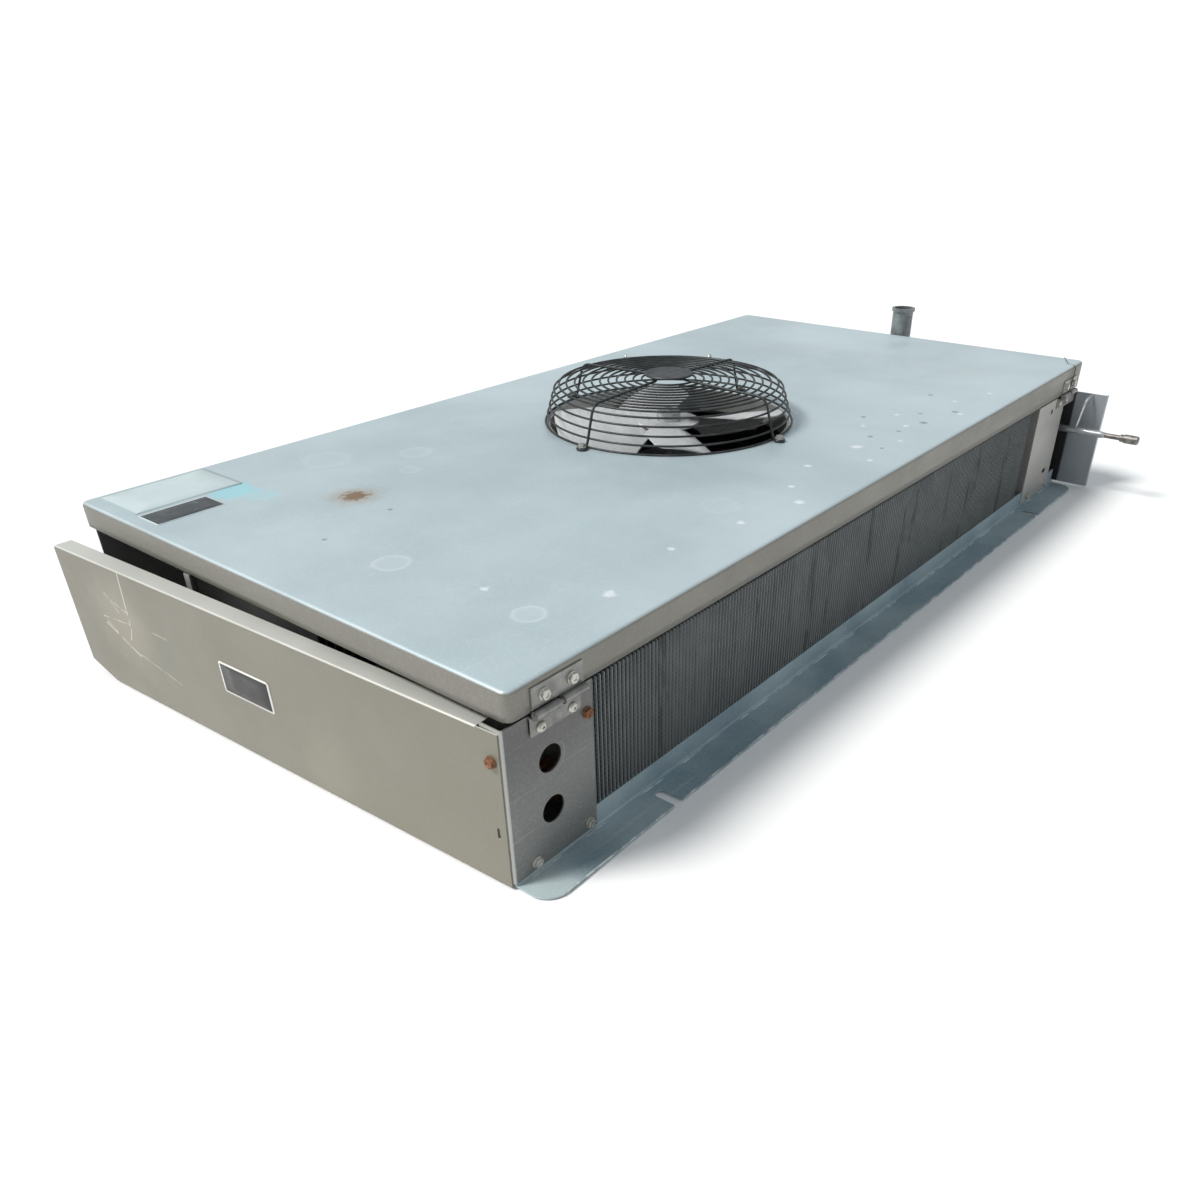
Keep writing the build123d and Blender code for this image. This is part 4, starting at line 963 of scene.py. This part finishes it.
def nearPlateShape():
    # the face with two round holes, and a fold towards the cover
    form = plateForm
    outline = np.array([(form["left"] + form["bend"], form["low"]), (form["right"], form["low"]),
                        (form["right"], form["top"]), (form["left"] + form["bend"], form["top"])])
    holes = [roundHole(x, z, form["holeRadius"], 56) for x, z in form["holes"]]
    points, faces = flatSheet(outline, holes, form["sheet"])
    face = np.stack([points[:, 0], form["front"] + points[:, 2], points[:, 1]], 1)
    fold, foldFaces = bent(bendSection(form["bend"], form["sheet"], form["lip"]), (form["low"], form["top"]))
    fold = np.stack([form["left"] - fold[:, 2], form["front"] - fold[:, 1], fold[:, 0]], 1)
    return joined([(face, faces), (fold, foldFaces)])


nearPlate = addPiece("nearPlateSheet", nearPlateShape(), "cabinet", galvanisedNear,
                     smooth=False)
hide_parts("near_end_plate")

# the crescent pressed round the upper hole, thinnest at its ends
ringTurn = np.radians(np.linspace(-115, 62, 30))
ringX, ringZ = plateForm["holes"][1]
crescent = np.stack([ringX + plateForm["ringRadius"] * np.cos(ringTurn),
                     np.full(30, plateForm["front"] + plateForm["ringSink"]),
                     ringZ + plateForm["ringRadius"] * np.sin(ringTurn)], 1)
taper = plateForm["ringWire"] * (0.35 + 0.65 * np.sin(np.linspace(0, np.pi, 30)))
addPiece("knockoutRing", tube(crescent, taper, (0, 1, 0), 8), "cabinet",
         galvanisedCabinet)
print("covers made")


# ---- screws ----

headForm = {"flange": 4.6, "flangeHeight": 0.9, "hexAcross": 3.55, "height": 3.2, "dish": 1.9,
            "dishDepth": 0.6, "steps": 36}
leafSeats = {"x": (-505.0, -475.2), "y": -265.36, "z": 116.4}
leafScrews = {"middle": 491.0, "reach": 30.0, "front": -260.0, "low": 112.0, "top": 130.0}
coverBack = -538.0
crossHead = ((4.1, 0.0, 0.0), (4.2, 0.0, 0.5), (3.7, 0.0, 1.5), (2.8, 0.0, 2.1), (2.3, 0.0, 2.3),
             (0.75, 1.1, 2.3), (0.7, 0.9, 1.3), (0.02, 0.0, 1.2))


def screwShape(centre, out, kind, turned):
    # rows of a turned profile; a hex head's radius follows six flats, a pan head carries a cross cut
    steps = headForm["steps"]
    circle = np.linspace(0, 2 * np.pi, steps, endpoint=False)
    turn = circle + turned
    flats = headForm["hexAcross"] / np.cos(circle % (np.pi / 3) - np.pi / 6)
    even = np.ones(steps)
    flange, lip, top = headForm["flange"], headForm["flangeHeight"], headForm["height"]
    floorOfDish = top - headForm["dishDepth"]
    if kind == "hex":
        rows = [(even * flange * 0.98, 0.0), (even * flange, 0.35), (even * flange * 0.96, lip),
                (flats, lip + 0.15), (flats, top - 0.45), (flats * 0.9, top), (even * headForm["dish"], top),
                (even * headForm["dish"] * 0.8, floorOfDish), (even * 0.02, floorOfDish)]
    else:
        cross = np.abs(np.cos(2 * circle)) ** 3
        rows = [(even * wide + cross * cut, height) for wide, cut, height in crossHead]
    out = np.array(out, float)
    sideA = np.cross(out, (0.3, 0.2, 0.9))
    sideA /= np.linalg.norm(sideA)
    sideB = np.cross(out, sideA)
    ways = np.cos(turn)[:, None] * sideA + np.sin(turn)[:, None] * sideB
    loops = [centre + out * height + radius[:, None] * ways for radius, height in rows]
    faces = gridFaces(len(rows), steps, False, True)
    faces += [list(range(steps))[::-1], list(range((len(rows) - 1) * steps, len(rows) * steps))]
    return np.concatenate(loops), faces


def screwPlaces(node):
    # seat and outward way of each separate screw in a CAD node
    form = bmesh.new()
    form.from_mesh(nodes[node].data)
    bmesh.ops.remove_doubles(form, verts=form.verts, dist=1e-6)
    found, seen = [], set()
    for vertex in form.verts:
        if vertex in seen:
            continue
        island, waiting = [], [vertex]
        seen.add(vertex)
        while waiting:
            one = waiting.pop()
            island.append(tuple(one.co))
            for edge in one.link_edges:
                other = edge.other_vert(one)
                if other not in seen:
                    seen.add(other)
                    waiting.append(other)
        island = np.array(island) / toMetres
        low, high = island.min(0), island.max(0)
        size = high - low
        unlike = [abs(size[1] - size[2]), abs(size[0] - size[2]), abs(size[0] - size[1])]
        axis = int(np.argmin(unlike))
        middle = (low + high) / 2
        others = [k for k in range(3) if k != axis]
        wide = np.abs(island[:, others] - middle[others]).max(1) > size[others].max() * 0.42
        headSide = 1.0 if island[wide][:, axis].mean() > middle[axis] else -1.0
        out = np.zeros(3)
        out[axis] = headSide
        seat = middle.copy()
        seat[axis] = island[wide][:, axis].min() if headSide > 0 else island[wide][:, axis].max()
        found.append((seat, out))
    form.free()
    return found


random = np.random.default_rng(11)
for node, name, slotName, finish in (("plate_screws", "plateScrews", "zinc_screw", small["zincScrew"]),
                                     ("rusted_screws", "rustedScrews", "rusty_steel", small["rustySteel"]),
                                     ("hinge_rivets", "hingeRivets", "zinc_screw", small["zincScrew"])):
    heads = []
    for seat, out in screwPlaces(node):
        kind = "hex"
        onLeaf = (abs(abs(seat[0]) - leafScrews["middle"]) < leafScrews["reach"]
                  and seat[1] < leafScrews["front"] and leafScrews["low"] < seat[2] < leafScrews["top"])
        if node == "plate_screws" and onLeaf:
            kind = "pan"
            if seat[0] < 0:
                column = leafSeats["x"][0 if seat[0] < -leafScrews["middle"] else 1]
                seat = np.array([column, leafSeats["y"], leafSeats["z"]])
        if node == "rusted_screws" and seat[0] < coverBack:
            seat = np.array([[coverForm["screwIn"], coverForm["sheet"], coverForm["screwHeight"]]])
            seat = coverPlace(seat)[0]
        heads.append(screwShape(seat, out, kind, random.uniform(0, 1.0)))
    print(node, len(heads), "screws")
    piece = addPiece(name, joined(heads), "pan" if node == "hinge_rivets" else "cabinet", finish)
    sharpCorners(piece, 32)
    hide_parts(node)


# ---- pipes beside the far cover ----

riser = np.array([(515, -281.5, 81.5), (515.1, -282.4, 88), (515.6, -284.4, 104), (516.3, -286.2, 116),
                  (518.4, -287.3, 120.6), (523, -287.8, 121.6), (538.2, -288, 121.8)])
riserRadius = 1.9
pressure = addPiece("pressureTube", tube(riser, riserRadius, (0, 1, 0), 10), "cabinet",
                    small["steelTube"])
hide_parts("pressure_tube")

# a sleeve slid over the liquid line, its radius swelling behind the first edge and drawn in at the end
sleeveForm = {"x": 515.0, "z": 80.0, "y": (-258.0, -258.6, -285, -314, -318.5, -320.5, -321.0),
              "radius": (3.6, 4.3, 4.3, 4.3, 3.9, 3.5, 3.3), "sides": 20}
sleeve = np.array([(sleeveForm["x"], y, sleeveForm["z"]) for y in sleeveForm["y"]])
addPiece("lineSleeve", tube(sleeve, np.array(sleeveForm["radius"]), (1, 0, 0), sleeveForm["sides"]), "cabinet",
         small["steelTube"])
print("screws and pipes made")


# ---- blank plates ----

def plate(corners, up, thickness, radius, steps=5):
    # a thin plate: corners rounded by radius, in the plane of two unit ways
    origin, wayA, wayB, sizeA, sizeB = corners
    origin, wayA, wayB, up = (np.array(v, float) for v in (origin, wayA, wayB, up))
    outline = []
    for k, (a, b) in enumerate(((sizeA - radius, sizeB - radius), (radius, sizeB - radius), (radius, radius),
                                (sizeA - radius, radius))):
        turn = np.radians(90 * k + np.linspace(0, 90, steps))
        outline.append(np.stack([a + radius * np.cos(turn), b + radius * np.sin(turn)], 1))
    flat = np.concatenate(outline)
    middle = flat.mean(0)
    rows = []
    for shrink, lift in ((1.0, 0.0), (1.0, thickness * 0.7), (0.997, thickness), (0.5, thickness)):
        spotsOnPlate = middle + (flat - middle) * shrink
        rows.append(origin + spotsOnPlate[:, :1] * wayA + spotsOnPlate[:, 1:] * wayB + up * lift)
    count = len(flat)
    points = np.concatenate(rows)
    faces = gridFaces(len(rows), count, False, True)
    faces += [list(range(count))[::-1], list(range((len(rows) - 1) * count, len(rows) * count))]
    return points, faces


tilt = panForm["rise"] / panForm["length"]
alongPan, upPan = (1, 0, tilt), (-tilt, 0, 1)
plateLift, plateThick = 0.02, 0.35
panPlates = (
    ("dataPlate", "paleFoil", (-522, 194, 103.5, 68, 3), (0.52, 0.61, 0.62), (0.40, 0.49, 0.51),
     (("X", -0.5190, -0.4215), ("Y", 0.1970, 0.2590)), (0.46, 0.55, 0.57)),
    ("darkPlate", "darkFoil", (-522, 156, 63, 33, 2), (0.055, 0.065, 0.07), (0.62, 0.68, 0.70),
     (("X", -0.5208, -0.4602), ("Y", 0.1572, 0.1878)), (0.20, 0.24, 0.26)))
for name, finish, (x, y, length, width, radius), body, border, inner, outer in panPlates:
    corners = ((x, y, panTop(x) + plateLift), alongPan, (0, 1, 0), length, width)
    addPiece(name, plate(corners, upPan, plateThick, radius), "pan",
             plateMaterial(finish, body, border, inner, outer))

coverLabel = {"along": 233.0, "out": 1.22, "low": 54.0, "length": 63, "height": 28.5, "radius": 2.5}
labelStart = coverPlace(np.array([[coverLabel["along"], coverLabel["out"], coverLabel["low"]]]))[0]
labelCorners = (labelStart, coverWay, (0, 0, 1), coverLabel["length"], coverLabel["height"])
blackFoil = plateMaterial("blackFoil", (0.035, 0.035, 0.035), (0.80, 0.80, 0.77),
                          (("Y", -0.0213, 0.0380), ("Z", 0.0556, 0.0808)), (0.12, 0.12, 0.12))
addPiece("coverPlate", plate(labelCorners, coverOut, plateThick, coverLabel["radius"]), "cabinet",
         blackFoil)

# the near hinge's lower leaf, as tall as its screws need
leafForm = {"left": -515.0, "right": -467.0, "low": 112.3, "top": 127.2, "back": -264.0, "thick": 1.38,
            "corner": 1.2}
leafCorners = ((leafForm["left"], leafForm["back"], leafForm["low"]), (1, 0, 0), (0, 0, 1),
               leafForm["right"] - leafForm["left"], leafForm["top"] - leafForm["low"])
addPiece("leafFace", plate(leafCorners, (0, -1, 0), leafForm["thick"], leafForm["corner"]), "cabinet",
         small["hingeSteel"], smooth=False)

# a stiff tie wire bent over the pan's rim
wireForm = {"radius": 0.6, "side": (-0.42, -0.90, 0.1)}
wirePath = np.array([(535.7, -240.5, 150.0), (535.7, -241.0, 158.5), (535.4, -241.4, 163.4),
                     (533.0, -242.4, 165.6), (518.0, -249.4, 165.6), (502.0, -257.0, 165.5),
                     (499.2, -263.0, 165.4), (498.0, -267.0, 164.6), (497.2, -269.2, 161.5),
                     (495.4, -269.6, 153.0), (492.6, -269.6, 141.0), (490.6, -269.4, 135.4)])
addPiece("tieWire", tube(wirePath, wireForm["radius"], wireForm["side"], 8), "pan",
         small["blackWire"])
print("plates and wire made")


# ---- finishes on the CAD nodes ----

finishes = {
    galvanisedCabinet: ("ceiling_panel", "near_tube_sheet", "far_tube_sheet", "back_panel", "pipe_clip",
                        "cover_strut", "fan_venturi"),
    pipeCover: ("far_cover",),
    brightPlate: ("far_end_plate",),
    galvanisedRail: ("back_rail",),
    small["copperTube"]: ("coil_tubes", "near_return_bends", "far_return_bends", "suction_header",
                          "feeder_tubes"),
    small["dullBrass"]: ("distributor",),
    small["agedPipe"]: ("liquid_line", "liquid_cap"),
    small["drainSteel"]: ("drain_fitting",),
    small["steelTube"]: ("fan_hub",),
    small["terminalPlastic"]: ("terminal_block",),
    small["zincScrew"]: ("guard_screws",),
    small["hingeSteel"]: ("near_lower_leaf", "far_lower_leaf", "hinge_pins", "near_upper_leaf",
                          "far_upper_leaf"),
    small["badgeBlack"]: ("guard_badge",),
    small["blackWire"]: ("motor_mount",),
    small["motorBlack"]: ("fan_motor",),
}
for material, names in finishes.items():
    for name in names:
        slots = nodes[name].material_slots
        if slots:
            for one in slots:
                one.link = "OBJECT"
                one.material = material
        else:
            nodes[name].data.materials.append(material)
print("finishes set")
